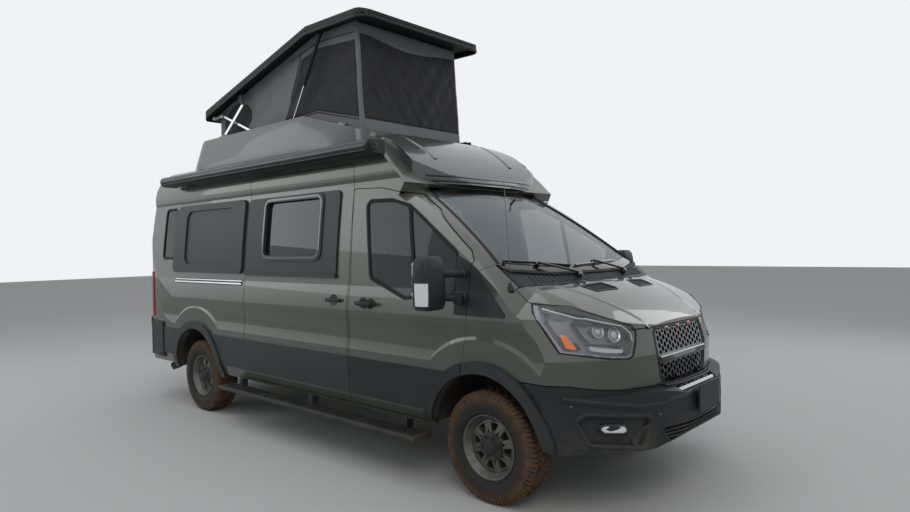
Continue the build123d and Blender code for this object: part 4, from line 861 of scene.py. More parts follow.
def repeat(shape, count, step=(0, 0, 0), turn=(0, 0, 0), about=(0, 0, 0), finish=None):
    """A shape set out count times, moved by step and turned by turn (radians) about a point each time."""
    centre = Vector(about)
    block_mesh = bpy.data.meshes.new("block")
    block_mesh.from_pydata([tuple(Vector(v) - centre) for v in shape[0]], [], [tuple(f) for f in shape[1]])
    block = bpy.data.objects.new("block", block_mesh)
    carrier = bpy.data.objects.new("carrier", bpy.data.meshes.new("carrier"))
    for made in (block, carrier):
        scene.collection.objects.link(made)
    rule = carrier.modifiers.new("repeat", "NODES")
    rule.node_group = REPEAT
    values = {"Block": block, "Count": count, "Step": step, "Turn": turn, "Finish": finish or black_plastic}
    for socket in REPEAT.interface.items_tree:
        if socket.in_out == "INPUT":
            rule[socket.identifier] = values[socket.name]
    seen = carrier.evaluated_get(bpy.context.evaluated_depsgraph_get())
    plain = bpy.data.meshes.new_from_object(seen)
    result = [v.co + centre for v in plain.vertices], [tuple(p.vertices) for p in plain.polygons]
    carrier.modifiers.clear()
    for made in (block, carrier):
        bpy.data.objects.remove(made)
    return result


# Wheels
WHEEL_R, WHEEL_X = 0.356, 0.870
AXLES = {"front": -1.967, "rear": 1.783}
CARCASS = [(-0.094, 0.2105), (-0.103, 0.2165), (-0.108, 0.222), (-0.1065, 0.228), (-0.1145, 0.240),
           (-0.1172, 0.262), (-0.1172, 0.285), (-0.1145, 0.306), (-0.108, 0.324), (-0.099, 0.338),
           (-0.082, 0.3455), (-0.04, 0.3475)]


def tread_block(across, along, height, centre, lean=0.0, taper=0.8):
    """One rubber lug standing on the tread at the top of the tyre; centre is (x, radius)."""
    verts = []
    for level, share in ((-0.006, 1.0), (height - 0.001, taper + 0.06), (height, taper)):
        for a, b in ((-1, -1), (1, -1), (1, 1), (-1, 1)):
            x, y = a * across / 2 * share, b * along / 2 * share
            verts.append((centre[0] + x * math.cos(lean) - y * math.sin(lean),
                          x * math.sin(lean) + y * math.cos(lean), centre[1] + level))
    faces = []
    for row in (0, 4):
        faces += [(row + i, row + (i + 1) % 4, row + 4 + (i + 1) % 4, row + 4 + i) for i in range(4)]
    return verts, faces + [(8, 9, 10, 11), (3, 2, 1, 0)]


def shoulder_lug(length, width, phase):
    """A lug that wraps from the tread over the shoulder, at an angle round the tyre."""
    section = [(0.062, 0.3558), (0.088, 0.3545), (0.1025, 0.3435), (0.1085, 0.331), (0.1125, 0.331 - length)]
    verts, faces = [], []
    for i, (x, r) in enumerate(section):
        half = width / 2 * (1 - 0.08 * i)
        slant = 0.004 * i
        for side in (-1, 1):
            verts.append((x, side * half + slant, r))
        for side in (-1, 1):
            verts.append((x - 0.008, side * half * 1.12 + slant, r - 0.010))
    for i in range(len(section) - 1):
        a, b = 4 * i, 4 * i + 4
        faces += [(a, b, b + 1, a + 1), (a, a + 2, b + 2, b), (a + 1, b + 1, b + 3, a + 3)]
    last = 4 * (len(section) - 1)
    faces += [(0, 1, 3, 2), (last, last + 2, last + 3, last + 1)]
    turn = Matrix.Rotation(phase, 4, "X")
    return moved((verts, faces), turn)


def tyre_shape():
    """The tyre about its own axle, its outer face towards +X."""
    steps = 36
    turn = (2 * math.pi / steps, 0, 0)
    profile = CARCASS + [(-x, r) for x, r in reversed(CARCASS)]
    shapes = [turned(profile, (0, 0, 0), (1, 0, 0), 96, ring=True)]
    lean = math.radians(18)
    rows = [((0.022, 0.046), (0.0, 0.3467), lean, 0.0), ((0.026, 0.040), (0.037, 0.3463), -lean, 0.5),
            ((0.026, 0.040), (-0.037, 0.3463), lean, 0.5)]
    for (across, along), centre, tilt, shift in rows:
        block = moved(tread_block(across, along, 0.0085, centre, tilt), Matrix.Rotation(shift * turn[0], 4, "X"))
        shapes.append(repeat(block, steps, turn=turn, finish=muddy))
    for length, phase in ((0.010, 0.0), (0.022, 0.5)):
        lug = shoulder_lug(length, 0.027, phase * turn[0])
        other = [(-v[0], v[1], v[2]) for v in lug[0]], lug[1]
        shapes.append(repeat(join(lug, other), steps, turn=turn, finish=muddy))
    rib = slab((0.1150, -0.0012, 0.262), (0.1180, 0.0012, 0.300), 0)
    shapes.append(repeat(join(rib, ([(-v[0], v[1], v[2]) for v in rib[0]], rib[1])), 72,
                         turn=(math.pi / 36, 0, 0), finish=muddy))
    return join(*shapes)


def spoke_sector():
    """An eighth of the wheel's face: one rounded window between two half spokes."""
    def polar(r, angle, x):
        return (x, r * math.sin(angle), r * math.cos(angle))

    half = math.pi / 8
    window = rounded([(0.096, -0.125), (0.150, -0.225), (0.150, 0.225), (0.096, 0.125)],
                     [0.010, 0.022, 0.022, 0.010], 3)
    middle, outward, inward = 0.125, 0.045, 0.053
    edge = []
    for r, t in window:
        dr, dt = (r - middle) / 0.030, t / 0.24
        scale = 1 / max(abs(dr), abs(dt), 1e-6)
        reach = (outward if dr > 0 else inward) * max(-1, min(1, dr * scale))
        edge.append((middle + reach, half * max(-1, min(1, dt * scale))))

    def crown(r):
        return 0.052 + 0.012 * (1 - abs(r - 0.085) / 0.085)

    lip = 0.004
    loops = [[polar(r, t, crown(r)) for r, t in edge],
             [polar(r + (-lip if r < 0.12 else lip), t * 1.07, crown(r) - 0.002) for r, t in window],
             [polar(r, t, crown(r) - 0.008) for r, t in window],
             [polar(r, t * 0.97, 0.020) for r, t in window],
             [polar(r, t, 0.020) for r, t in edge]]
    n = len(window)
    verts = [p for loop in loops for p in loop]
    faces = []
    for row in range(4):
        for i in range(n):
            j = (i + 1) % n
            faces.append((row * n + i, row * n + j, (row + 1) * n + j, (row + 1) * n + i))
    return verts, faces


def rim_shape():
    """The wheel's barrel, lip and spoked face about its own axle, its face towards +X."""
    barrel = [(-0.095, 0.2095), (-0.100, 0.206), (-0.100, 0.199), (-0.090, 0.190), (-0.03, 0.180),
              (0.020, 0.166), (0.052, 0.166), (0.060, 0.170), (0.075, 0.184), (0.094, 0.192), (0.100, 0.199),
              (0.100, 0.206), (0.094, 0.2095), (0.080, 0.2095), (0.0, 0.193), (-0.080, 0.2095)]
    face = repeat(spoke_sector(), 8, turn=(math.pi / 4, 0, 0), finish=wheel_enamel)
    hub = [(0.020, 0.0), (0.020, 0.0725), (0.062, 0.0725), (0.066, 0.066), (0.066, 0.0)]
    return join(turned(barrel, (0, 0, 0), (1, 0, 0), 72, ring=True), face, turned(hub, (0, 0, 0), (1, 0, 0), 48))


def cap_shape():
    """The black hub cap with its ring of nuts."""
    dome = turned([(0.060, 0.050), (0.078, 0.050), (0.088, 0.044), (0.092, 0.030), (0.093, 0.0)], (0, 0, 0),
                  (1, 0, 0), 40)
    ring = turned([(0.060, 0.090), (0.070, 0.088), (0.074, 0.080), (0.074, 0.050), (0.066, 0.048)], (0, 0, 0),
                  (1, 0, 0), 48, ring=True)
    nut = turned([(0.060, 0.0125), (0.084, 0.0115), (0.088, 0.008), (0.089, 0.0)], (0, 0, 0.069), (1, 0, 0), 6)
    nuts = repeat(nut, 6, turn=(math.pi / 3, 0, 0), finish=black_plastic)
    rib = slab((0.084, -0.003, 0.012), (0.0945, 0.003, 0.040), 0.0015)
    ribs = repeat(rib, 6, turn=(math.pi / 3, 0, 0), finish=black_plastic)
    return join(dome, ring, nuts, ribs)


def brake_shapes():
    """Brake disc with its bell, and the caliper beside it."""
    disc = turned([(-0.020, 0.070), (-0.020, 0.150), (-0.002, 0.150), (-0.002, 0.080), (0.014, 0.076),
                   (0.014, 0.050)], (0, 0, 0), (1, 0, 0), 48)
    hole = turned([(-0.0025, 0.004), (-0.0015, 0.004)], (0, 0, 0.115), (1, 0, 0), 8)
    disc = join(disc, repeat(hole, 24, turn=(math.pi / 12, 0, 0), finish=iron))
    caliper = slab((-0.045, 0.085, -0.050), (0.012, 0.162, 0.060), 0.014, 3)
    return disc, caliper


TYRE, RIM, CAP = tyre_shape(), rim_shape(), cap_shape()
DISC, CALIPER = brake_shapes()
for end, y in AXLES.items():
    for side, sign in SIDES.items():
        name = f"{end}_{side}"
        spin = Matrix.Rotation({"front": 0.35, "rear": 1.1}[end] + sign, 4, "X")
        place = Matrix.Translation((sign * WHEEL_X, y, WHEEL_R)) @ Matrix.Diagonal((sign, 1, 1, 1))
        body = f"wheel_{name}"
        shape = moved(TYRE, place @ spin)
        reach = [(math.hypot(v[1], v[2]), v[0]) for v in TYRE[0]]
        tyre = make(f"tread_{name}", *shape, muddy, body, 30, ("reach", reach))
        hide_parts(f"tyre_{name}")
        rim = make(f"wheel_face_{name}", *moved(RIM, place @ spin), wheel_enamel, body, 32, weld=True)
        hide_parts(f"rim_{name}")
        make(f"hub_cap_{name}", *moved(CAP, place @ spin), black_plastic, body, 30)
        make(f"brake_disc_{name}", *moved(DISC, place @ spin), iron, body, 30)
        holder = f"knuckle_{side}" if end == "front" else "van"
        make(f"brake_caliper_{name}", *moved(CALIPER, place), iron, holder, 40)


# Sides
def grown(points, by):
    """An outline moved outwards by a distance."""
    n = len(points)
    area = sum(points[i][0] * points[(i + 1) % n][1] - points[(i + 1) % n][0] * points[i][1] for i in range(n))
    way = 1 if area > 0 else -1
    result = []
    for i in range(n):
        a, c = Vector(points[i - 1]), Vector(points[(i + 1) % n])
        side = (c - a).normalized()
        result.append((points[i][0] + side.y * by * way, points[i][1] - side.x * by * way))
    return result


def facing(place, normal, level=(0, 0, 1)):
    """The matrix that sets (along, up, out) on a surface at a place."""
    out = normal.normalized()
    along = Vector(level).cross(out).normalized()
    return Matrix.Translation(place) @ Matrix((along, out.cross(along), out)).transposed().to_4x4()


def side_outline(points, sign, skin=None, corner=0.045, grow=0.0, step=0.04):
    """A closed outline of (y, z) points laid on one side of the van."""
    outline = dense(rounded(points, corner), step)
    if grow:
        outline = grown(outline, grow)
    return [(skin or body_skin).side(sign, y, z) for y, z in outline]


def side_line(points, sign, skin=None, step=0.05):
    return [(skin or body_skin).side(sign, y, z) for y, z in dense(points, step, False)]


DOOR_WINDOW = [(-0.820, 1.967), (-0.905, 1.404), (-1.279, 1.276), (-1.735, 1.315), (-1.750, 1.574),
               (-1.434, 1.804), (-1.278, 1.909), (-1.095, 1.958)]
SLIDING_WINDOW = [(-0.270, 1.560), (-0.270, 2.045), (0.540, 2.045), (0.540, 1.560)]
SLIM_WINDOW = [(2.335, 1.550), (2.335, 2.070), (2.580, 2.070), (2.590, 1.550)]
DIVIDER = [(-1.283, 1.905), (-1.335, 1.560), (-1.375, 1.290)]
SEAL = strip(0.026, 0.0025)


def door_handle(sign, y, z, body, name):
    """A pull handle over its round finger cup, with a key cap."""
    place = facing(*outer_skin.side(sign, y, z))
    cup = turned([(-0.002, 0.0), (-0.002, 0.034), (0.0015, 0.040), (0.002, 0.044), (0.0, 0.046)], (0, 0, 0),
                 (0, 0, 1), 36)
    cup = [Vector((v.x * 1.15, v.y * 0.92, v.z)) for v in cup[0]], cup[1]
    bar = slab((-0.088, -0.016, 0.014), (0.088, 0.018, 0.036), 0.010, 4)
    bar = [Vector((v.x, v.y * (1 - 0.18 * (v.x / 0.088) ** 2) - 0.004 * (v.x / 0.088) ** 2,
                   v.z - 0.018 * (v.x / 0.088) ** 2)) for v in bar[0]], bar[1]
    feet = join(slab((-0.088, -0.012, -0.004), (-0.060, 0.012, 0.020), 0.004),
                slab((0.060, -0.012, -0.004), (0.088, 0.012, 0.020), 0.004))
    key = turned([(0.0, 0.011), (0.006, 0.011), (0.008, 0.009), (0.008, 0.0)], (0.108, 0, 0), (0, 0, 1), 20)
    make(name, *moved(join(cup, bar, feet, key), place), black_plastic, body, 40)


MIRROR_SECTIONS = [(1.231, 0.060, 0.040, -1.752), (1.236, 0.086, 0.056, -1.752), (1.262, 0.096, 0.068, -1.752),
                   (1.330, 0.0965, 0.073, -1.751), (1.430, 0.0966, 0.073, -1.750), (1.500, 0.091, 0.067, -1.749),
                   (1.540, 0.082, 0.060, -1.747), (1.560, 0.066, 0.044, -1.746), (1.5635, 0.040, 0.026, -1.746)]


def mirror_point(angle, z, out=0.0):
    """A point of the mirror head's housing on the left side, at an angle round it."""
    for low, high in zip(MIRROR_SECTIONS, MIRROR_SECTIONS[1:]):
        if z <= high[0] or high is MIRROR_SECTIONS[-1]:
            t = max(0, min(1, (z - low[0]) / (high[0] - low[0])))
            break
    half_x, half_y, middle = (low[k] + (high[k] - low[k]) * t for k in (1, 2, 3))
    c, s = math.cos(angle), math.sin(angle)
    power = 2 / 4.2
    x = math.copysign(abs(c) ** power, c) * (half_x + out)
    y = math.copysign(abs(s) ** power, s) * (half_y + out)
    return Vector((1.25 + x, middle + y, z))


def mirror_head():
    levels = [s[0] for s in MIRROR_SECTIONS]
    sides = 40
    verts = [mirror_point(2 * math.pi * k / sides, z) for z in levels for k in range(sides)]
    faces = []
    for row in range(len(levels) - 1):
        for k in range(sides):
            j = (k + 1) % sides
            faces.append((row * sides + k, row * sides + j, (row + 1) * sides + j, (row + 1) * sides + k))
    return verts, faces + [tuple(range(sides)), tuple(range((len(levels) - 1) * sides, len(levels) * sides))]


def mirror_patch(first, last, low, high, out, columns=10, rows=8):
    """A raised panel on the mirror head between two angles and two heights."""
    verts, faces = [], []
    for lift in (out, -0.002):
        for j in range(rows + 1):
            for i in range(columns + 1):
                z = low + (high - low) * j / rows
                verts.append(mirror_point(first + (last - first) * i / columns, z, lift))
    n, m = (columns + 1) * (rows + 1), columns + 1
    for j in range(rows):
        for i in range(columns):
            a = j * m + i
            faces += [(a, a + 1, a + m + 1, a + m), (n + a, n + a + m, n + a + m + 1, n + a + 1)]
    rim = ([i for i in range(m)] + [j * m + columns for j in range(1, rows + 1)]
           + [rows * m + i for i in reversed(range(columns))] + [j * m for j in reversed(range(1, rows))])
    for a, b in zip(rim, rim[1:] + rim[:1]):
        faces.append((a, n + a, n + b, b))
    return verts, faces


for side, sign in SIDES.items():
    door = f"front_door_{side}"
    flip = (lambda shape: shape) if sign > 0 else mirrored
    make(f"door_window_seal_{side}", *sweep(side_outline(DOOR_WINDOW, sign, grow=0.006), SEAL), rubber, door)
    divider = sweep(side_line(DIVIDER, sign, outer_skin), strip(0.030, 0.009), closed=False)
    make(f"door_window_divider_{side}", *divider, rubber, door)
    door_handle(sign, -0.89, 1.22, door, f"door_handle_{side}")
    make(f"mirror_head_{side}", *flip(mirror_head()), black_plastic, door, 50)
    panes = join(plate(rounded([(-0.070, -0.075), (0.070, -0.075), (0.066, 0.085), (-0.066, 0.085)], 0.022),
                       lambda a, b, h: Vector((1.25 + a, -1.677 + h, 1.445 + b)), 0.006, 0.002),
                 plate(rounded([(-0.072, -0.040), (0.072, -0.040), (0.072, 0.036), (-0.072, 0.036)], 0.018),
                       lambda a, b, h: Vector((1.25 + a, -1.678 + h, 1.312 + b)), 0.006, 0.002))
    make(f"mirror_panes_{side}", *flip(panes), mirror_glass, door, 30)
    make(f"mirror_signal_{side}", *flip(mirror_patch(-0.95, 0.12, 1.262, 1.400, 0.002)), white_lens, door, 40)
    signal_edge = mirror_patch(-1.05, 0.20, 1.255, 1.408, 0.001)
    make(f"mirror_signal_edge_{side}", *flip(signal_edge), gloss_black, door, 40)
    arms = join(tube([(1.02, -1.822, 1.450), (1.08, -1.815, 1.452), (1.15, -1.780, 1.452), (1.19, -1.765, 1.450)],
                     [0.030, 0.026] + [0.024] * 32, 12),
                tube([(1.02, -1.822, 1.300), (1.08, -1.815, 1.300), (1.15, -1.780, 1.302), (1.19, -1.765, 1.302)],
                     [0.034, 0.028] + [0.024] * 32, 12),
                turned([(-0.03, 0.0), (-0.03, 0.030), (-0.022, 0.036), (0.025, 0.036), (0.032, 0.028),
                        (0.032, 0.0)], (1.052, -1.818, 1.285), (0, 0, 1), 24))
    make(f"mirror_arms_{side}", *flip(arms), black_plastic, door, 40)
    # Seal round the slim rear window
    make(f"slim_window_seal_{side}", *sweep(side_outline(SLIM_WINDOW, sign, corner=0.04, grow=0.004), SEAL),
         rubber, "van")
    # Sliding-door window, in its rounded frame on the pod
    frame_path = side_outline(SLIDING_WINDOW, sign, outer_skin, 0.060, 0.008)
    make(f"pod_window_frame_{side}", *sweep(frame_path, strip(0.024, 0.004, 0.002)), gloss_black, "van")

# Handle and slide rail of the sliding door, on the right side only
door_handle(-1, -0.49, 1.225, "van", "sliding_door_handle")
rail = side_line([(0.895, 1.322), (2.235, 1.318)], -1)
make("slide_rail_bed", *sweep(rail, strip(0.050, 0.003), closed=False), rubber, "van")
make("slide_rail", *join(sweep(rail, strip(0.014, 0.010, centre=0.014), closed=False),
                         sweep(rail, strip(0.018, 0.013, centre=-0.012), closed=False)), silver, "van")

# Running boards
BOARD_X, BOARD_TOP = 1.04, 0.359
for side, sign in SIDES.items():
    pads, bumps = [], []
    for k in range(4):
        start = -1.43 + k * 0.648
        pads.append(slab((sign * BOARD_X - 0.066, start, BOARD_TOP - 0.004),
                         (sign * BOARD_X + 0.066, start + 0.60, BOARD_TOP + 0.004), 0.004))
        for row in range(6):
            x = sign * BOARD_X - 0.050 + row * 0.020
            bump = slab((x - 0.0065, start + 0.022, BOARD_TOP + 0.003),
                        (x + 0.0065, start + 0.036, BOARD_TOP + 0.009), 0.003, 1)
            bumps.append(repeat(bump, 24, step=(0, 0.0235, 0), finish=rubber))
    make(f"step_pads_{side}", *join(*pads), rubber, "van", 40)
    make(f"step_treads_{side}", *join(*bumps), rubber, "van", 40)
    ends = []
    for y, way in ((-1.455, -1), (1.17, 1)):
        def end_place(a, b, h, y=y, way=way):
            return Vector((sign * BOARD_X + a, y + way * (h - 0.004), 0.342 + b))

        outline = rounded([(-0.084, -0.018), (0.084, -0.018), (0.084, 0.018), (-0.084, 0.018)], 0.013)
        ends.append(plate(outline, end_place, 0.012, 0.004))
    make(f"step_end_caps_{side}", *join(*ends), black_plastic, "van", 40)
    marker = turned([(0.0, 0.007), (0.003, 0.006), (0.004, 0.0)], (sign * 1.100, -1.463, 0.345), (0, -1, 0), 16)
    make(f"step_marker_{side}", *marker, red_lens, "van", 40)
    rails = []
    for dx in (-0.074, 0.074):
        line = [(Vector((sign * BOARD_X + dx, y, BOARD_TOP)), Vector((0, 0, 1))) for y in (-1.45, 0, 1.16)]
        rails.append(sweep(line, strip(0.010, 0.004, 0.002), closed=False))
    make(f"step_edges_{side}", *join(*rails), black_plastic, "van", 40)
    struts = []
    for y in (-1.25, -0.14, 0.96):
        struts.append(tube([(sign * 0.90, y, 0.47), (sign * 0.955, y, 0.40), (sign * 0.985, y, 0.352),
                            (sign * 1.03, y, 0.335)], 0.017, 10))
        struts.append(turned([(-0.03, 0.0), (-0.03, 0.009), (0.03, 0.009), (0.03, 0.0)],
                             (sign * 0.985, y + 0.03, 0.372), (1, 0, 0), 6))
    make(f"step_brackets_{side}", *join(*struts), underbody, "van", 40)

# Windscreen, cowl and wipers
WINDSCREEN = [(-0.862, 1.470), (-0.668, 2.070), (0.668, 2.070), (0.862, 1.470), (0.500, 1.438), (-0.500, 1.438)]


def front_outline(points, corner, step=0.04, skin=None, grow=0.0):
    outline = dense(rounded(points, corner), step)
    if grow:
        outline = grown(outline, grow)
    return [(skin or body_skin).front(x, z) for x, z in outline]


def front_line(points, step=0.04, skin=None):
    return [(skin or body_skin).front(x, z) for x, z in dense(points, step, False)]


def top_line(points, step=0.05, skin=None):
    return [(skin or body_skin).top(x, y) for x, y in dense(points, step, False)]


def sunk(line, depth):
    """A line of (place, normal) points laid deeper under its surface."""
    return [(place - normal * depth, normal) for place, normal in line]


make("windscreen_seal", *sweep(front_outline(WINDSCREEN, 0.03, grow=0.004), strip(0.028, 0.003)), rubber, "van")
make("windscreen_border", *sweep(front_outline(WINDSCREEN, 0.03, grow=-0.030), strip(0.046, 0.0012, 0.0008, 0.002)),
     gloss_black, "van", 30)
sun_band = front_line([(-0.600, 2.018), (0.600, 2.018)], 0.05)
make("windscreen_sun_band", *sweep(sun_band, strip(0.075, 0.0012, 0.0008, 0.002), closed=False), gloss_black, "van",
     30)

# Sensor housing behind the glass, in the middle at the top
place, normal = body_skin.front(0, 1.985)
sensor = facing(place - normal * 0.030, normal)
make("glass_sensor_housing", *moved(slab((-0.085, -0.11, -0.030), (0.085, 0.07, 0.012), 0.012, 3), sensor),
     black_plastic, "van")

# Cowl: a long black moulding of fine slots, and two wipers laid on the glass
cowl_skin = Skin("cowl", "windscreen", "hood", "body_shell")
slots = []
for k in range(37):
    x = -0.720 + k * 0.040
    path = [cowl_skin.front(x, z) for z in (1.382, 1.424)]
    slots.append(sweep(path, strip(0.016, 0.004, 0.002), closed=False))
make("cowl_slats", *join(*slots), black_plastic, "van", 30)


def wiper(foot, elbow, blade):
    """One wiper: its pivot cap, arm and blade, as points seen from the front."""
    def at(x, z, out):
        place, normal = cowl_skin.front(x, z)
        return place + normal * out
    pivot, pivot_normal = cowl_skin.front(*foot)
    arm = [at(*foot, 0.030), at(foot[0] * 0.85 + elbow[0] * 0.15, foot[1] * 0.85 + elbow[1] * 0.15, 0.036),
           at(*elbow, 0.028)]
    parts = [turned([(-0.01, 0.0), (-0.01, 0.026), (0.034, 0.024), (0.042, 0.016), (0.042, 0.0)], pivot,
                    pivot_normal, 24),
             tube(arm, [0.011] * 6 + [0.008] * 7, 8)]
    ends = [at(*blade[0], 0.012), at((blade[0][0] + blade[1][0]) / 2, (blade[0][1] + blade[1][1]) / 2, 0.014),
            at(*blade[1], 0.012)]
    parts.append(tube(ends, 0.0065, 8, smooth=10))
    rubber_line = [at(blade[0][0] + (blade[1][0] - blade[0][0]) * k / 12,
                      blade[0][1] + (blade[1][1] - blade[0][1]) * k / 12, 0.005) for k in range(13)]
    parts.append(tube(rubber_line, 0.004, 6, smooth=0))
    centre = at(*elbow, 0.016)
    parts.append(turned([(-0.02, 0.0), (-0.02, 0.010), (0.02, 0.010), (0.02, 0.0)], centre, (1, 0, 0), 12))
    return join(*parts)


WIPERS = {"right": ((-0.300, 1.405), (-0.560, 1.486), ((-0.800, 1.516), (-0.250, 1.472))),
          "left": ((0.320, 1.405), (0.060, 1.486), ((-0.200, 1.470), (0.420, 1.488)))}
for side, places in WIPERS.items():
    make(f"wiper_{side}", *wiper(*places), gloss_black, "van", 40)

# Hood: two pressed creases, a grid in each vent and two washer jets
hood_skin = Skin("hood", "front_panels", "cowl")
CREASE = [(0.02, 0.0), (0.013, 0.0012), (0.006, 0.0034), (0.0, 0.0042), (-0.010, 0.0030), (-0.024, 0.0014),
          (-0.034, 0.0), (-0.034, -0.003), (0.02, -0.003)]
HOOD_VENT = [(0.148, -2.442), (0.398, -2.420), (0.430, -2.328), (0.190, -2.338)]
for side, sign in SIDES.items():
    line = [(sign * 0.596, -2.245), (sign * 0.560, -2.36), (sign * 0.490, -2.53), (sign * 0.415, -2.68),
            (sign * 0.372, -2.775)]
    profile = [(a * sign, o) for a, o in CREASE]
    make(f"hood_crease_{side}", *sweep(top_line(line, 0.03, hood_skin), profile, closed=False), paint, "hood", 50)
    vent = [(sign * x, y) for x, y in HOOD_VENT]
    outline = [hood_skin.top(x, y) for x, y in dense(rounded(grown(vent, 0.004), 0.012), 0.03)]
    lift = sum((n for _, n in outline), Vector()).normalized()
    make(f"hood_vent_frame_{side}", *sweep([(p, lift) for p, _ in outline], strip(0.016, 0.005, 0.003)),
         black_plastic, "hood", 40)
    corners = [hood_skin.top(x, y)[0] - lift * 0.005 for x, y in grown(vent, 0.008)]
    bars = []
    for count, (a, b, c, d) in ((15, (0, 1, 3, 2)), (6, (0, 3, 1, 2))):
        for k in range(1, count):
            ends = [corners[a].lerp(corners[b], k / count), corners[c].lerp(corners[d], k / count)]
            bars.append(tube(ends, 0.0032, 6, smooth=0))
    low = [c - lift * 0.016 for c in corners]
    deep = [c - lift * 0.020 for c in corners]
    bars.append((low + deep, [(0, 1, 2, 3), (7, 6, 5, 4), (0, 4, 5, 1), (1, 5, 6, 2), (2, 6, 7, 3), (3, 7, 4, 0)]))
    make(f"hood_vent_mesh_{side}", *join(*bars), black_plastic, "hood", 30)
    jet_place, jet_normal = hood_skin.top(sign * 0.33, -2.290)
    jet = facing(jet_place, jet_normal)
    make(f"washer_jet_{side}", *moved(slab((-0.012, -0.010, -0.002), (0.012, 0.012, 0.009), 0.004), jet),
         gloss_black, "hood")

# Aerial on the right wing
place, normal = Skin("front_panels", "cowl", "hood", "body_shell").top(-0.93, -2.14)
make("antenna_foot", *turned([(-0.01, 0.0), (-0.01, 0.024), (0.006, 0.022), (0.022, 0.014), (0.040, 0.009),
                              (0.046, 0.0)], place, Vector((-0.1, 0.15, 1)), 24), black_plastic, "van", 40)
top = place + Vector((0.010, 0.05, 0.66))
make("antenna_rod", *tube([place + Vector((0, 0, 0.03)), place.lerp(top, 0.5), top], 0.0022, 8, smooth=4),
     gloss_black, "van", 40)

# Front lamps, grille and bumper
def pad(points, out, sink=0.004, bevel=0.003):
    """A low raised pad over a closed ring of (place, normal) points."""
    n = len(points)
    middle = sum((p for p, _ in points), Vector()) / n
    rows = [[p - m * sink for p, m in points], [p + m * (out - bevel) for p, m in points],
            [p + m * (out - bevel * 0.3) + (middle - p).normalized() * bevel * 0.3 for p, m in points],
            [p + m * out + (middle - p).normalized() * bevel for p, m in points]]
    verts = [v for row in rows for v in row]
    faces = [(r * n + i, r * n + (i + 1) % n, (r + 1) * n + (i + 1) % n, (r + 1) * n + i)
             for r in range(3) for i in range(n)]
    return verts, faces + [tuple(reversed(range(n))), tuple(range(3 * n, 4 * n))]


def signed(points, sign):
    """An (x, z) outline drawn for the left side, on the side asked for."""
    return points if sign > 0 else [(-x, z) for x, z in reversed(points)]


# The lamp's rim on the body's surface, from its inner low corner round
LAMP_RIM = [
    (0.531, -2.729, 1.133), (0.508, -2.746, 1.093), (0.531, -2.756, 1.028), (0.576, -2.762, 0.957),
    (0.610, -2.754, 0.948), (0.754, -2.688, 0.961), (0.861, -2.608, 0.981), (0.958, -2.501, 0.999),
    (0.968, -2.463, 1.056), (0.978, -2.425, 1.111), (0.988, -2.381, 1.169), (0.967, -2.324, 1.218),
    (0.906, -2.276, 1.272), (0.853, -2.394, 1.261), (0.800, -2.467, 1.253), (0.758, -2.561, 1.222),
    (0.685, -2.635, 1.189), (0.602, -2.705, 1.149),
]
LAMP_FIELD = [(0.875, 1.180), (0.844, 1.164), (0.739, 1.142), (0.616, 1.119), (0.564, 1.086), (0.560, 1.051),
              (0.658, 1.028), (0.815, 1.042), (0.844, 1.083), (0.859, 1.134)]
LAMP_BROW = [(0.905, 1.250), (0.891, 1.233), (0.841, 1.200), (0.733, 1.167), (0.597, 1.135), (0.545, 1.089),
             (0.545, 1.046)]
LIGHT_STRIP = [(0.829, 1.035), (0.768, 1.023), (0.702, 1.012), (0.626, 1.002), (0.644, 0.983), (0.735, 0.990),
               (0.821, 1.007)]
LAMP_AMBER = [(0.937, 1.107), (0.912, 1.098), (0.880, 1.012), (0.928, 1.026)]
LAMP_FIN = [(0.878, 1.062), (0.864, 1.018), (0.876, 1.016), (0.896, 1.056)]
LAMP_WEDGE = [(0.671, 1.024), (0.604, 1.038), (0.545, 1.037), (0.552, 1.000), (0.591, 0.962), (0.629, 0.981)]
BARRELS = [(0.650, 1.086, 0.044), (0.742, 1.110, 0.036)]
FOG_RECESS = [(0.548, 0.568), (0.562, 0.604), (0.868, 0.634), (0.900, 0.604), (0.855, 0.478), (0.592, 0.447)]
FOG_LAMP = [(0.688, 0.548), (0.706, 0.580), (0.806, 0.588), (0.826, 0.566), (0.806, 0.538), (0.712, 0.530)]
bowl_skin = Skin("front_lamps")
cover_skin = Skin("lamp_covers")
rim_skin = Skin("front_panels", "lamp_covers", "hood")
bumper_skin = Skin("front_bumper")


def under_cover(points, sign, depth, corner=0.008, closed=True):
    """A line or ring seen from the front, a little way behind the lamp's cover."""
    points = signed(points, sign)
    line = dense(rounded(points, corner), 0.02) if closed else dense(points, 0.02, False)
    return sunk([cover_skin.front(x, z) for x, z in line], depth)


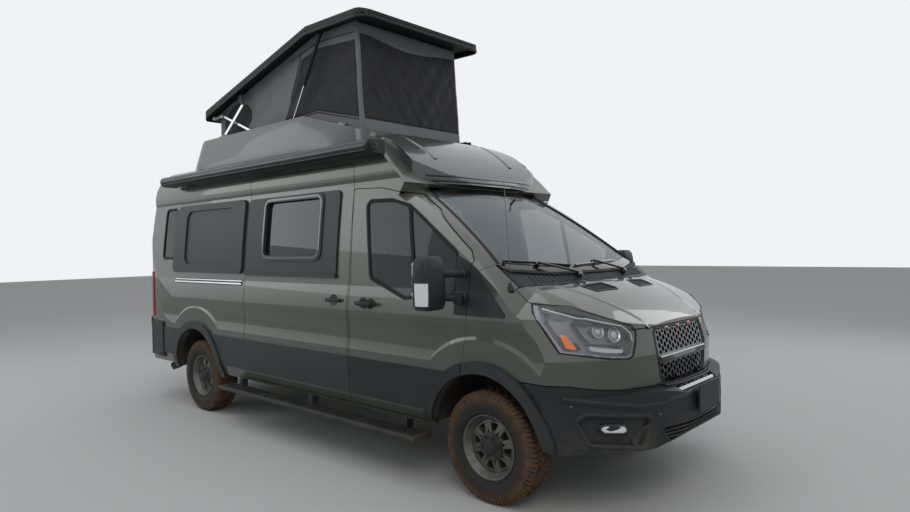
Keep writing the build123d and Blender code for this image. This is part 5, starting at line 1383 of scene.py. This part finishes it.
for side, sign in SIDES.items():
    rim = [Vector((sign * x, y, z)) for x, y, z in (LAMP_RIM if sign < 0 else LAMP_RIM[::-1])]
    rim = [rim[i].lerp(rim[(i + 1) % len(rim)], k / 4) for i in range(len(rim)) for k in range(4)]
    seal = sweep([rim_skin.near(p) for p in rim], strip(0.009, 0.0018, 0.001))
    make(f"lamp_seal_{side}", *seal, rubber, "van", 30)
    bowls, domes = [], []
    for x, z, radius in BARRELS:
        place, normal = bowl_skin.front(sign * x, z)
        bowls.append(turned([(-0.028, radius * 0.9), (0.000, radius), (0.004, radius), (0.0045, radius - 0.003),
                             (-0.004, radius * 0.72), (-0.008, radius * 0.6), (-0.008, 0.0)], place, normal, 40))
        domes.append(turned([(-0.010, radius * 0.56), (-0.003, radius * 0.54), (0.001, radius * 0.42),
                             (0.003, radius * 0.24), (0.0035, 0.0)], place, normal, 40))
    make(f"lamp_bowls_{side}", *join(*bowls), chrome, "van", 40)
    make(f"lamp_domes_{side}", *join(*domes), white_lens, "van", 60)
    field = under_cover(LAMP_FIELD, sign, 0.014, 0.012)
    make(f"lamp_field_frame_{side}", *sweep(field, strip(0.010, 0.006, 0.003, 0.012)), lamp_dark, "van", 40)
    brow = under_cover(LAMP_BROW, sign, 0.012, closed=False)
    make(f"lamp_brow_{side}", *sweep(brow, strip(0.012, 0.006, 0.003, 0.016), closed=False), silver_trim, "van", 40)
    strip_ring = under_cover(LIGHT_STRIP, sign, 0.012)
    make(f"lamp_light_strip_{side}", *pad(strip_ring, 0.005, 0.022), white_lens, "van", 40)
    make(f"lamp_amber_{side}", *pad(under_cover(LAMP_AMBER, sign, 0.010), 0.004, 0.020), amber, "van", 30)
    dark = [pad(under_cover(LAMP_FIN, sign, 0.010, 0.004), 0.003, 0.024),
            pad(under_cover(LAMP_WEDGE, sign, 0.012), 0.003, 0.024)]
    make(f"lamp_wedges_{side}", *join(*dark), lamp_dark, "van", 30)
    # Fog lamp: a clear lens in its frame, inside a recess with a raised edge
    lens = front_outline(signed(FOG_LAMP, sign), 0.016, 0.02, bumper_skin, -0.004)
    make(f"fog_lens_{side}", *pad(lens, 0.002, 0.010), white_lens, "van", 40)
    frame_ring = front_outline(signed(FOG_LAMP, sign), 0.016, 0.02, bumper_skin, -0.002)
    make(f"fog_frame_{side}", *sweep(frame_ring, strip(0.010, 0.006, 0.003)), gloss_black, "van", 40)
    edge = front_outline(signed(FOG_RECESS, sign), 0.016, 0.03, bumper_skin, 0.012)
    make(f"fog_recess_edge_{side}", *sweep(edge, [(0.016, -0.003), (0.010, 0.005), (0.000, 0.007), (-0.012, 0.003),
                                                  (-0.016, -0.003)]), black_plastic, "van", 60)

# Grille: surround, plain bar face, three marker lamps and the shelf at its foot
GRILLE_FACE = [(-0.262, 0.722), (-0.342, 0.800), (-0.374, 0.960), (-0.364, 1.076), (-0.336, 1.110), (0.336, 1.110),
               (0.364, 1.076), (0.374, 0.960), (0.342, 0.800), (0.262, 0.722)]
grille_skin = Skin("grille")
surround = [grille_skin.front(x, z) for x, z in dense(rounded(grown(GRILLE_FACE, -0.016), 0.030), 0.03)]
make("grille_surround", *sweep(surround, strip(0.022, 0.008, 0.005, 0.012)), black_plastic, "van", 50)
bar = [grille_skin.front(x, 0.910) for x in (-0.335, -0.25, -0.15, 0, 0.15, 0.25, 0.335)]
make("grille_bar_face", *sweep(bar, strip(0.036, 0.006, 0.005), closed=False), gloss_black, "van", 40)
marker_lamps, marker_frames = [], []
for x in (-0.17, 0.0, 0.17):
    place, normal = grille_skin.front(x, 1.089)
    base = facing(place, normal)
    marker_lamps.append(moved(slab((-0.022, -0.006, -0.004), (0.022, 0.006, 0.010), 0.003), base))
    marker_frames.append(moved(slab((-0.028, -0.010, -0.004), (0.028, 0.010, 0.004), 0.003), base))
make("grille_marker_lamps", *join(*marker_lamps), amber, "van", 40)
make("grille_marker_frames", *join(*marker_frames), gloss_black, "van", 40)
foot = [Vector((x, -2.838 - 0.060 * max(0, 1 - (x / 0.36) ** 4), 0.757))
        for x in (-0.34, -0.30, -0.22, -0.1, 0, 0.1, 0.22, 0.30, 0.34)]
slats = [tube(foot, 0.008), tube([p + Vector((0, 0.020, 0.006)) for p in foot], 0.005, 8)]
for k in range(17):
    x = -0.28 + k * 0.035
    slats.append(tube([Vector((x, -2.890, 0.757)), Vector((x, -2.845, 0.762))], 0.004, 6, smooth=0))
make("grille_foot_slats", *join(*slats), black_plastic, "van", 50)

# Bumper: sensor buttons, moulded edges, the intake's frame, the towing eye's cover and the bracket's screws
buttons = []
for x, z in ((-0.480, 0.610), (0.480, 0.610), (-0.930, 0.690), (0.930, 0.690)):
    place, normal = bumper_skin.front(x, z)
    buttons.append(turned([(-0.004, 0.012), (0.002, 0.012), (0.0035, 0.010), (0.004, 0.0)], place, normal, 24))
make("bumper_sensors", *join(*buttons), gloss_black, "van", 40)
BUMPER_LIP = [(-0.962, 0.738), (-0.812, 0.710), (-0.605, 0.677), (-0.523, 0.676), (-0.424, 0.670), (-0.372, 0.692),
              (-0.281, 0.690), (-0.170, 0.706)]
BUMPER_FLUTE = [(-0.640, 0.452), (-0.530, 0.560), (-0.500, 0.664)]
LIP_SECTION = [(0.030, -0.003), (0.026, 0.001), (0.008, 0.006), (-0.002, 0.0065), (-0.012, 0.001), (-0.014, -0.003)]
FLUTE_SECTION = [(0.030, -0.003), (0.024, 0.001), (0.0, 0.0045), (-0.024, 0.001), (-0.030, -0.003)]
edges = []
for sign in SIDES.values():
    for points, section in ((BUMPER_LIP, LIP_SECTION), (BUMPER_FLUTE, FLUTE_SECTION)):
        path = [bumper_skin.front(-sign * x, z) for x, z in dense(points, 0.03, False)]
        edges.append(sweep(path, [(-sign * a, o) for a, o in section], closed=False))
INTAKE = [(-0.412, 0.440), (-0.486, 0.538), (0.486, 0.538), (0.412, 0.440)]
intake = [bumper_skin.front(x, z) for x, z in dense(rounded(INTAKE, 0.020), 0.03)]
edges.append(sweep(intake, strip(0.014, 0.005, 0.004)))
make("bumper_edges", *join(*edges), black_plastic, "van", 60)
EYE_COVER = [(0.300, 0.600), (0.360, 0.600), (0.360, 0.655), (0.300, 0.655)]
cover = [bumper_skin.front(x, z) for x, z in dense(rounded(EYE_COVER, 0.008), 0.02)]
make("towing_eye_cover", *pad(cover, 0.0015, 0.003, 0.001), black_plastic, "van", 30)
screws, bracket_slots = [], []
for x in (-0.100, 0.100):
    screws.append(turned([(-0.003, 0.009), (-0.0002, 0.009), (0.0, 0.006), (0.0, 0.0)], (x, -2.9895, 0.718),
                         (0, -1, 0), 12))
    bracket_slots.append(moved(slab((-0.004, -0.018, -0.003), (0.004, 0.018, 0.0), 0.002),
                               facing(Vector((x, -2.9895, 0.604)), Vector((0, -1, 0)))))
make("bracket_screws", *join(*screws), silver, "van", 40)
make("bracket_slots", *join(*bracket_slots), rubber, "van", 30)

# Roof cap: sloping shoulders down to the roof, a rubber along the rim and two latches on each side.
# A shoulder's section is (distance out, drop, share of the way down to the roof).
CAP_HALF, CAP_FRONT, CAP_REAR = 0.758, -0.560, 2.135
roof_skin = Skin("body_shell", "nose_cap")
SHOULDER = [(0.000, 0.012, 0.0), (0.012, 0.008, 0.0), (0.026, -0.018, 0.0), (0.050, -0.075, 0.15),
            (0.085, -0.140, 0.45), (0.118, -0.190, 1.0)]


def edge_line(line, height, sink=0.0):
    """(place, outward) points along a line of (x, y) points, as high as height(y) says."""
    result = []
    for i, (x, y) in enumerate(line):
        before, after = line[max(0, i - 1)], line[min(len(line) - 1, i + 1)]
        out = Vector((after[1] - before[1], before[0] - after[0], 0)).normalized()
        if out.dot(Vector((x, y - 0.8, 0))) < 0:
            out = -out
        result.append((Vector((x, y, height(y))) - out * sink, out))
    return result


# The cap's rim runs from its left front corner round the rear to the right
rim_line = dense(rounded([(CAP_HALF, CAP_FRONT), (CAP_HALF, CAP_REAR), (-CAP_HALF, CAP_REAR),
                          (-CAP_HALF, CAP_FRONT)], 0.14), 0.05)
rim_line = [p for p in rim_line if p[1] > CAP_FRONT + 0.02]
rim_path = edge_line(rim_line, cap_rim)
FULL_REACH, FULL_DROP = SHOULDER[-1][:2]
REAR_REACH_SHARE, FRONT_REACH_SHARE, FRONT_TAPER = 0.35, 0.25, 0.25
verts, faces, m = [], [], len(SHOULDER)
for place, out in rim_path:
    end = min(1.0, max(0.0, (place.y - CAP_FRONT) / FRONT_TAPER))
    reach = FULL_REACH * (REAR_REACH_SHARE if abs(out.y) > 0.7 else 1.0)
    foot = place + out * reach
    low = roof_skin.top(foot.x, foot.y)[0].z - 0.012
    for across, drop, share in SHOULDER:
        across *= reach / FULL_REACH * (FRONT_REACH_SHARE + (1 - FRONT_REACH_SHARE) * end)
        z = place.z + drop + (low - place.z - FULL_DROP) * share
        verts.append(place + out * across + Vector((0, 0, z - place.z)))
for i in range(len(rim_path) - 1):
    faces += [(i * m + k, i * m + k + 1, (i + 1) * m + k + 1, (i + 1) * m + k) for k in range(m - 1)]
shoulder = make("roof_cap_shoulder", verts, faces, cap_gelcoat, "van", 40)
wall = shoulder.modifiers.new("thickness", "SOLIDIFY")
wall.thickness, wall.offset = 0.004, -1

for side, sign in SIDES.items():
    rubber_edge = [(Vector((sign * 0.724, y / 20, cap_rim(y / 20) + 0.001)), Vector((0, 0, 1)))
                   for y in range(-8, 41)]
    make(f"cap_rim_seal_{side}", *sweep(rubber_edge, strip(0.016, 0.006, 0.004), closed=False), rubber, "van", 40)
    latch = []
    for y in (-0.30, 1.62):
        rim = Vector((sign * 0.760, y, cap_rim(y)))
        latch.append(join(slab(rim - Vector((0.012, 0.085, 0.010)), rim + Vector((0.012, 0.085, 0.016)), 0.006),
                          slab(rim - Vector((0.008, 0.030, -0.012)), rim + Vector((0.008, 0.045, 0.026)), 0.004)))
    make(f"cap_latches_{side}", *join(*latch), gloss_black, "van", 40)

# Nose cap: two lips over the glass, a rib on each shoulder and two dark fins on each side
nose_skin = Skin("nose_cap")
lips = []
for z, out in ((2.122, 0.010), (2.158, 0.007)):
    path = front_line([(-0.660, z), (0.660, z)], 0.04, nose_skin)
    lips.append(sweep(path, [(0.012, -0.004), (0.010, out * 0.6), (0.004, out), (-0.004, out), (-0.010, out * 0.6),
                             (-0.012, -0.004)], closed=False))
make("visor_lips", *join(*lips), gloss_black, "van", 60)
ribs, fins = [], []
RIB_SECTION = [(0.030, -0.003), (0.020, 0.004), (0.008, 0.008), (-0.008, 0.008), (-0.020, 0.004), (-0.030, -0.003)]
FINS = [[(-1.150, 2.300), (-0.900, 2.432), (-0.930, 2.372)],
        [(-0.930, 2.405), (-0.690, 2.500), (-0.720, 2.440)]]
for sign in SIDES.values():
    ribs.append(sweep(top_line([(sign * 0.470, -1.080), (sign * 0.520, -0.720)], 0.04, nose_skin), RIB_SECTION,
                      closed=False))
    for outline in FINS:
        ring = [nose_skin.near(Vector((sign * 0.86, y, z + 0.03))) for y, z in dense(rounded(outline, 0.008), 0.02)]
        fins.append(pad(ring, 0.004, 0.006, 0.002))
make("visor_ribs", *join(*ribs), visor_gelcoat, "van", 60)
make("visor_fins", *join(*fins), gloss_black, "van", 40)

# Lid: an edge trim in steps round its sides and front, and low ribs on its rear slope
LID_HALF, LID_NOSE, LID_TAIL, TRIM_END = 0.735, -0.560, 2.300, 2.06
lid_line = dense(rounded([(LID_HALF, LID_TAIL), (LID_HALF, LID_NOSE), (-LID_HALF, LID_NOSE),
                          (-LID_HALF, LID_TAIL)], 0.12), 0.05)
lid_line = [p for p in lid_line if p[1] < TRIM_END]
TRIMS = ((0.012, 0.020, 0.0055), (0.036, 0.008, 0.0030), (0.052, 0.006, 0.0020))
trims = [sweep(edge_line(lid_line, lambda y, height=height: lid_edge(y) + height, 0.001),
               strip(width, out, 0.003), closed=False) for height, width, out in TRIMS]
make("lid_edge_trim", *join(*trims), lid_plastic, "roof_lid", 40)
lid_skin = Skin("roof_lid")
RIDGE = [(0.045, -0.003), (0.030, 0.004), (0.018, 0.007), (-0.018, 0.007), (-0.030, 0.004), (-0.045, -0.003)]
ridges = [sweep(top_line([(x, 0.330), (x, 1.960)], 0.08, lid_skin), RIDGE, closed=False)
          for x in (-0.48, -0.16, 0.16, 0.48)]
make("lid_ribs", *join(*ridges), lid_plastic, "roof_lid", 60)

# Awning: the case's long seams, and its end caps with the roller's ends
awning_skin = Skin("awning")
seams = [sweep(side_line([(-0.990, z), (2.320, z)], -1, awning_skin, 0.25), strip(0.005, out, 0.001), closed=False)
         for z, out in ((2.386, 0.002), (2.352, 0.002), (2.322, 0.003))]
make("awning_seams", *join(*seams), gloss_black, "van", 30)
CASE_END = [(-0.928, 2.300), (-0.928, 2.404), (-1.058, 2.404), (-1.090, 2.392), (-1.108, 2.362), (-1.104, 2.334),
            (-1.092, 2.312), (-1.058, 2.300)]
ends = [plate(CASE_END, lambda a, b, h, y=y, way=way: Vector((a, y + way * (h - 0.004), b)), 0.020, 0.005)
        for y, way in ((-1.000, -1), (2.330, 1))]
ROLLER_END = [(-0.004, 0.040), (0.010, 0.038), (0.014, 0.030), (0.014, 0.012), (0.011, 0.010), (0.011, 0.0)]
for y, way in ((-1.016, -1), (2.346, 1)):
    ends.append(turned(ROLLER_END, (-1.050, y, 2.352), (0, way, 0), 28))
make("awning_end_caps", *join(*ends), black_plastic, "van", 40)

# Ventilator housing: ribs along its top
unit_skin = Skin("roof_unit")
louvres = [sweep(top_line([(x, 2.290), (x, 2.590)], 0.06, unit_skin), strip(0.012, 0.005, 0.003), closed=False)
           for x in (-0.22, -0.165, -0.11, -0.055, 0, 0.055, 0.11, 0.165, 0.22)]
make("roof_unit_ribs", *join(*louvres), black_plastic, "van", 40)

# Lift: pivot bolts of the scissor, and the foot plates of the gas struts
bolts = []
for sign in SIDES.values():
    for y, z in ((1.930, 2.700), (1.030, 2.700)):
        bolts.append(turned([(-0.004, 0.014), (0.006, 0.014), (0.009, 0.010), (0.009, 0.0)], (sign * 0.677, y, z),
                            (sign, 0, 0), 20))
make("lift_foot_bolts", *join(*bolts), silver, "van", 40)
sockets = []
for sign in SIDES.values():
    sockets.append(slab((sign * 0.665 - 0.018, 0.560, 2.672), (sign * 0.665 + 0.018, 0.640, 2.680), 0.003))
make("strut_foot_sockets", *join(*sockets), gloss_black, "van", 40)

# Tent: piped hems along the screens
HEM_LOW, HEM_HIGH, HEM_START = 0.10, 0.90, 0.02
for side, sign in SIDES.items():
    def hem_place(share, height):
        return tent_place((2 + share) if sign < 0 else (1 - share), height, 0.004)

    piping = []
    for height in (HEM_LOW, HEM_HIGH):
        line = [hem_place(HEM_START + k / 23 * (screen_edge(0.5) - HEM_START), height) for k in range(24)]
        piping.append(tube(line, 0.0032, 6, smooth=0))
    line = [hem_place(screen_edge(k / 16), HEM_LOW + (HEM_HIGH - HEM_LOW) * k / 16) for k in range(17)]
    piping.append(tube(line, 0.0032, 6, smooth=0))
    hem = make(f"screen_piping_{side}", *join(*piping), rubber, "van", 60)
    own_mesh(hem)

# Rear doors: window seals, a weather strip down the split, the handle, a blank plate and the high brake lamp
rear_skin = Skin("rear_door_left", "rear_door_right", "rear_door_glass_left", "rear_door_glass_right")
REAR_WINDOW = [(0.110, 1.450), (0.110, 2.060), (0.720, 2.060), (0.790, 1.450)]


def rear_line(points, step=0.05, closed=False):
    return [rear_skin.back(x, z) for x, z in dense(points, step, closed)]


for side, sign in SIDES.items():
    body = f"rear_door_{side}"
    outline = rounded([(sign * x, z) for x, z in REAR_WINDOW], 0.05)
    make(f"rear_window_seal_{side}", *sweep(rear_line(outline, 0.04, True), strip(0.026, 0.003)), rubber, body)
    presses = [sweep(rear_line([(sign * 0.090, z), (sign * 0.800, z)]), strip(0.030, 0.004, 0.004), closed=False)
               for z in (1.330, 0.820)]
    make(f"rear_door_presses_{side}", *join(*presses), paint, body, 40)
    pulls = []
    for z in (1.830, 1.110):
        place = facing(*rear_skin.back(sign * 0.855, z))
        pulls.append(moved(slab((-0.020, -0.050, -0.006), (0.020, 0.050, 0.008), 0.004), place))
    make(f"rear_hinge_covers_{side}", *join(*pulls), black_plastic, body, 40)
split = rear_line([(0.012, 0.690), (0.012, 2.290)], 0.08)
make("rear_split_seal", *sweep(split, strip(0.022, 0.004, 0.002), closed=False), rubber, "rear_door_left")
place = facing(*rear_skin.back(-0.170, 1.190))
cup = slab((-0.115, -0.034, -0.006), (0.115, 0.034, 0.004), 0.004)
grip = slab((-0.092, -0.018, 0.002), (0.092, 0.022, 0.028), 0.010, 3)
lock = turned([(0.0, 0.011), (0.006, 0.011), (0.008, 0.008), (0.008, 0.0)], (0.0, -0.058, 0.0), (0, 0, 1), 20)
make("rear_door_handle", *moved(join(cup, grip, lock), place), black_plastic, "rear_door_right", 40)
place = facing(*rear_skin.back(0.420, 1.010))
holder = slab((-0.262, -0.060, -0.006), (0.262, 0.060, 0.010), 0.003)
make("plate_holder", *moved(holder, place), black_plastic, "rear_door_left", 40)
make("blank_plate", *moved(slab((-0.250, -0.052, 0.008), (0.250, 0.052, 0.013), 0.002), place), plate_enamel,
     "rear_door_left", 40)
bar = moved(slab((-0.285, 0.066, -0.006), (0.285, 0.112, 0.024), 0.006, 3), place)
make("plate_lamp_bar", *bar, black_plastic, "rear_door_left", 40)
roof_back = Skin("body_shell", "rear_door_left", "rear_door_right")
place = facing(*roof_back.back(0.0, 2.385))
make("high_brake_lamp", *moved(slab((-0.165, -0.016, -0.006), (0.165, 0.016, 0.010), 0.005, 3), place), red_lens,
     "van", 40)
make("high_brake_lamp_frame", *moved(slab((-0.180, -0.024, -0.008), (0.180, 0.024, 0.004), 0.004), place),
     gloss_black, "van", 40)

# Tail lamps: a clear field, an amber field and dark bars between them
tail_skin = Skin("tail_lamps", "body_shell")
TAIL_IN, TAIL_OUT = 0.928, 0.978
TAIL_FIELDS = [("reverse_lens", 1.010, 1.110, white_lens), ("turn_lens", 1.125, 1.225, amber)]
for side, sign in SIDES.items():
    for name, low, high, lens_finish in TAIL_FIELDS:
        corners = [(TAIL_IN, low), (TAIL_OUT, low), (TAIL_OUT, high), (TAIL_IN, high)]
        ring = [tail_skin.back(sign * x, z) for x, z in dense(rounded(corners, 0.012), 0.02)]
        make(f"{name}_{side}", *pad(ring, 0.003, 0.006, 0.002), lens_finish, "van", 40)
    bars = []
    for z in (0.995, 1.118, 1.236, 1.330):
        path = [tail_skin.back(sign * x, z) for x in (0.924, 0.942, 0.960, 0.980)]
        bars.append(sweep(path, strip(0.007, 0.004, 0.001), closed=False))
    make(f"tail_lamp_bars_{side}", *join(*bars), gloss_black, "van", 40)

# Rear bumper: treads on the step, and a reflector at each end
bumper_skin = Skin("rear_bumper")
treads = []
for k in range(9):
    x = -0.560 + k * 0.140
    step_line = [(bumper_skin.near(Vector((x, y, 0.66)))[0], Vector((0, 0, 1))) for y in (2.944, 2.958, 2.972)]
    treads.append(sweep(step_line, strip(0.100, 0.003, 0.001), closed=False))
make("rear_step_treads", *join(*treads), rubber, "van", 30)
reflectors = []
for sign in SIDES.values():
    place = facing(*bumper_skin.back(sign * 0.760, 0.560))
    reflectors.append(moved(slab((-0.060, -0.020, -0.004), (0.060, 0.020, 0.005), 0.003), place))
# The reflectors take the red lens finish, whose emission makes them glow faintly: a painted glow, as a reflector
# holds no lamp
make("rear_reflectors", *join(*reflectors), red_lens, "van", 40)

# Exhaust and prop shaft under the floor
PIPE = [(-0.300, -1.100, 0.460), (-0.300, 0.000, 0.450), (-0.300, 0.900, 0.450), (-0.300, 2.250, 0.460),
        (-0.430, 2.500, 0.430), (-0.640, 2.600, 0.390), (-0.850, 2.640, 0.350)]
pipe = tube(PIPE, 0.032, 14)
tip = turned([(0.0, 0.040), (0.090, 0.042), (0.094, 0.040), (0.094, 0.036), (0.02, 0.034), (0.02, 0.0)],
             (-0.800, 2.630, 0.362), (-0.95, 0.1, -0.22), 24)
muffler = turned([(0.0, 0.034), (0.02, 0.082), (0.04, 0.092), (0.56, 0.092), (0.58, 0.082), (0.60, 0.034)],
                 (-0.300, 0.100, 0.440), (0, 1, 0), 28)
seams = [turned([(y, 0.092), (y + 0.004, 0.097), (y + 0.012, 0.097), (y + 0.016, 0.092)], (-0.300, 0.100, 0.440),
                (0, 1, 0), 28) for y in (0.06, 0.52)]
make("exhaust", *join(pipe, tip, muffler, *seams), iron, "van", 40)
shaft = turned([(0.0, 0.0), (0.0, 0.060), (0.02, 0.060), (0.06, 0.040), (1.50, 0.040), (1.54, 0.052), (1.60, 0.052),
                (1.64, 0.040), (3.06, 0.040), (3.10, 0.058), (3.13, 0.058), (3.13, 0.0)], (0.0, -1.480, 0.470),
               (0, 1, -0.035), 24)
make("prop_shaft", *shaft, underbody, "van", 40)

# Seats and bed: padded pieces over the plain solids
def padded_block(low, high, turn=0.0, seams=()):
    """A cushion's points, faces and cloth map: domed above and below, drawn in along its seams."""
    low, high = Vector(low), Vector(high)
    size, centre = high - low, (low + high) / 2
    verts, faces, n = [], [], 26
    for side in (-1, 1):
        for j in range(n + 1):
            for i in range(n + 1):
                a, b = i / n * 2 - 1, j / n * 2 - 1
                dome = math.sqrt((1 - abs(a) ** 5) * (1 - abs(b) ** 5))
                drawn = sum(math.exp(-((a - s) / 0.05) ** 2) for s in seams) * 0.2
                reach = size.z / 2 * (0.42 + (0.58 - drawn) * dome)
                wrinkle = noise.noise(Vector((a * 3.1, b * 3.7, side * 2 + size.x * 9))) * 0.004 * dome
                verts.append(centre + Vector((a * size.x / 2, b * size.y / 2, side * (reach + wrinkle))))
    m = (n + 1) ** 2
    for j in range(n):
        for i in range(n):
            a = j * (n + 1) + i
            faces.append((a, a + n + 1, a + n + 2, a + 1))
            faces.append((m + a, m + a + 1, m + a + n + 2, m + a + n + 1))
    rim = (list(range(n)) + [i * (n + 1) + n for i in range(n)] + [m - 1 - i for i in range(n)]
           + [m - n - 1 - i * (n + 1) for i in range(n)])
    for k, i in enumerate(rim):
        j = rim[(k + 1) % len(rim)]
        faces.append((i, j, m + j, m + i))
    uvs = [(v.x - low.x + (v.z - low.z) * 0.5, v.y - low.y + (v.z - low.z) * 0.5) for v in verts]
    leant = Matrix.Translation(centre) @ Matrix.Rotation(turn, 4, "X") @ Matrix.Translation(-centre)
    return [leant @ v for v in verts], faces, uvs


def cushion(name, low, high, finish, turn=0.0, seams=()):
    verts, faces, uvs = padded_block(low, high, turn, seams)
    made = make(name, verts, faces, finish, "van", 180, ("cloth", uvs), level=1)
    return made


SEAT_X = 0.470
RECLINE = math.radians(90)
bases = []
for side, sign in SIDES.items():
    x = sign * SEAT_X
    cushion(f"seat_cushion_{side}", (x - 0.250, -1.280, 0.970), (x + 0.250, -0.765, 1.112), seat_cloth,
            seams=(-0.52, 0.52))
    cushion(f"seat_back_{side}", (x - 0.240, -1.100, 1.255), (x + 0.240, -0.480, 1.385), seat_cloth, RECLINE,
            (-0.55, 0.55))
    cushion(f"seat_headrest_{side}", (x - 0.140, -0.875, 1.640), (x + 0.140, -0.705, 1.740), seat_cloth, RECLINE)
    bases.append(slab((x - 0.205, -1.215, 0.690), (x + 0.205, -0.805, 0.972), 0.025, 3))
    for way in (-1, 1):
        cover_x, post_x = x + way * 0.235, x + way * 0.055
        bases.append(slab((cover_x - 0.014, -1.180, 0.930), (cover_x + 0.014, -0.760, 1.030), 0.010, 3))
        bases.append(tube([(post_x, -0.790, 1.580), (post_x, -0.790, 1.650)], 0.006, smooth=0))
base = make("seat_bases", *join(*bases), dash_plastic, "van", 40)
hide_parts("front_seats")
cushion("bed_mattress", (-0.883, 1.318, 1.108), (0.883, 2.802, 1.216), bed_cloth)

# Dashboard: centre screen, vents, instrument hood and the mirror behind the glass
trims = [slab((-0.135, -1.600, 1.160), (0.135, -1.545, 1.330), 0.010, 3)]
for x in (-0.800, -0.210, 0.210, 0.800):
    trims.append(slab((x - 0.060, -1.575, 1.200), (x + 0.060, -1.545, 1.290), 0.008, 2))
    for k in range(5):
        trims.append(slab((x - 0.052, -1.552, 1.212 + k * 0.016), (x + 0.052, -1.536, 1.216 + k * 0.016), 0.001, 1))
hood_ring = [(0.470 + 0.185 * math.cos(t * math.pi / 12), 1.290 + 0.105 * math.sin(t * math.pi / 12))
             for t in range(13)]
trims.append(sweep([(Vector((x, -1.600, z)), Vector((x - 0.470, 0, z - 1.290)).normalized()) for x, z in hood_ring],
                   [(-0.060, -0.006), (-0.060, 0.006), (0.060, 0.006), (0.060, -0.006)], closed=False))
make("dash_fittings", *join(*trims), dash_plastic, "van", 40)
make("dash_screen", *slab((-0.118, -1.552, 1.180), (0.118, -1.538, 1.312), 0.004), gloss_black, "van", 40)
glass_place, _ = body_skin.front(0.0, 1.900)
hang = glass_place + Vector((0, 0.130, 0))
half_size = Vector((0.125, 0.014, 0.035))
stalk = [hang, glass_place + Vector((0, 0.070, 0.050)), glass_place + Vector((0, 0.030, 0.085))]
mirror = join(slab(hang - half_size, hang + half_size, 0.012, 4), tube(stalk, 0.009))
make("cabin_mirror", *mirror, gloss_black, "van", 40)

# Kitchen block: door fronts with finger gaps, and a worktop
fronts = []
for k in range(3):
    y = -0.265 + k * 0.490
    for low, high in ((0.720, 1.120), (1.140, 1.540)):
        fronts.append(slab((0.348, y, low), (0.362, y + 0.470, high), 0.004))
make("cabinet_fronts", *join(*fronts), wood, "van", 40)
make("cabinet_worktop", *slab((0.340, -0.312, 1.590), (0.930, 1.212, 1.615), 0.006, 3), iron, "van", 40)
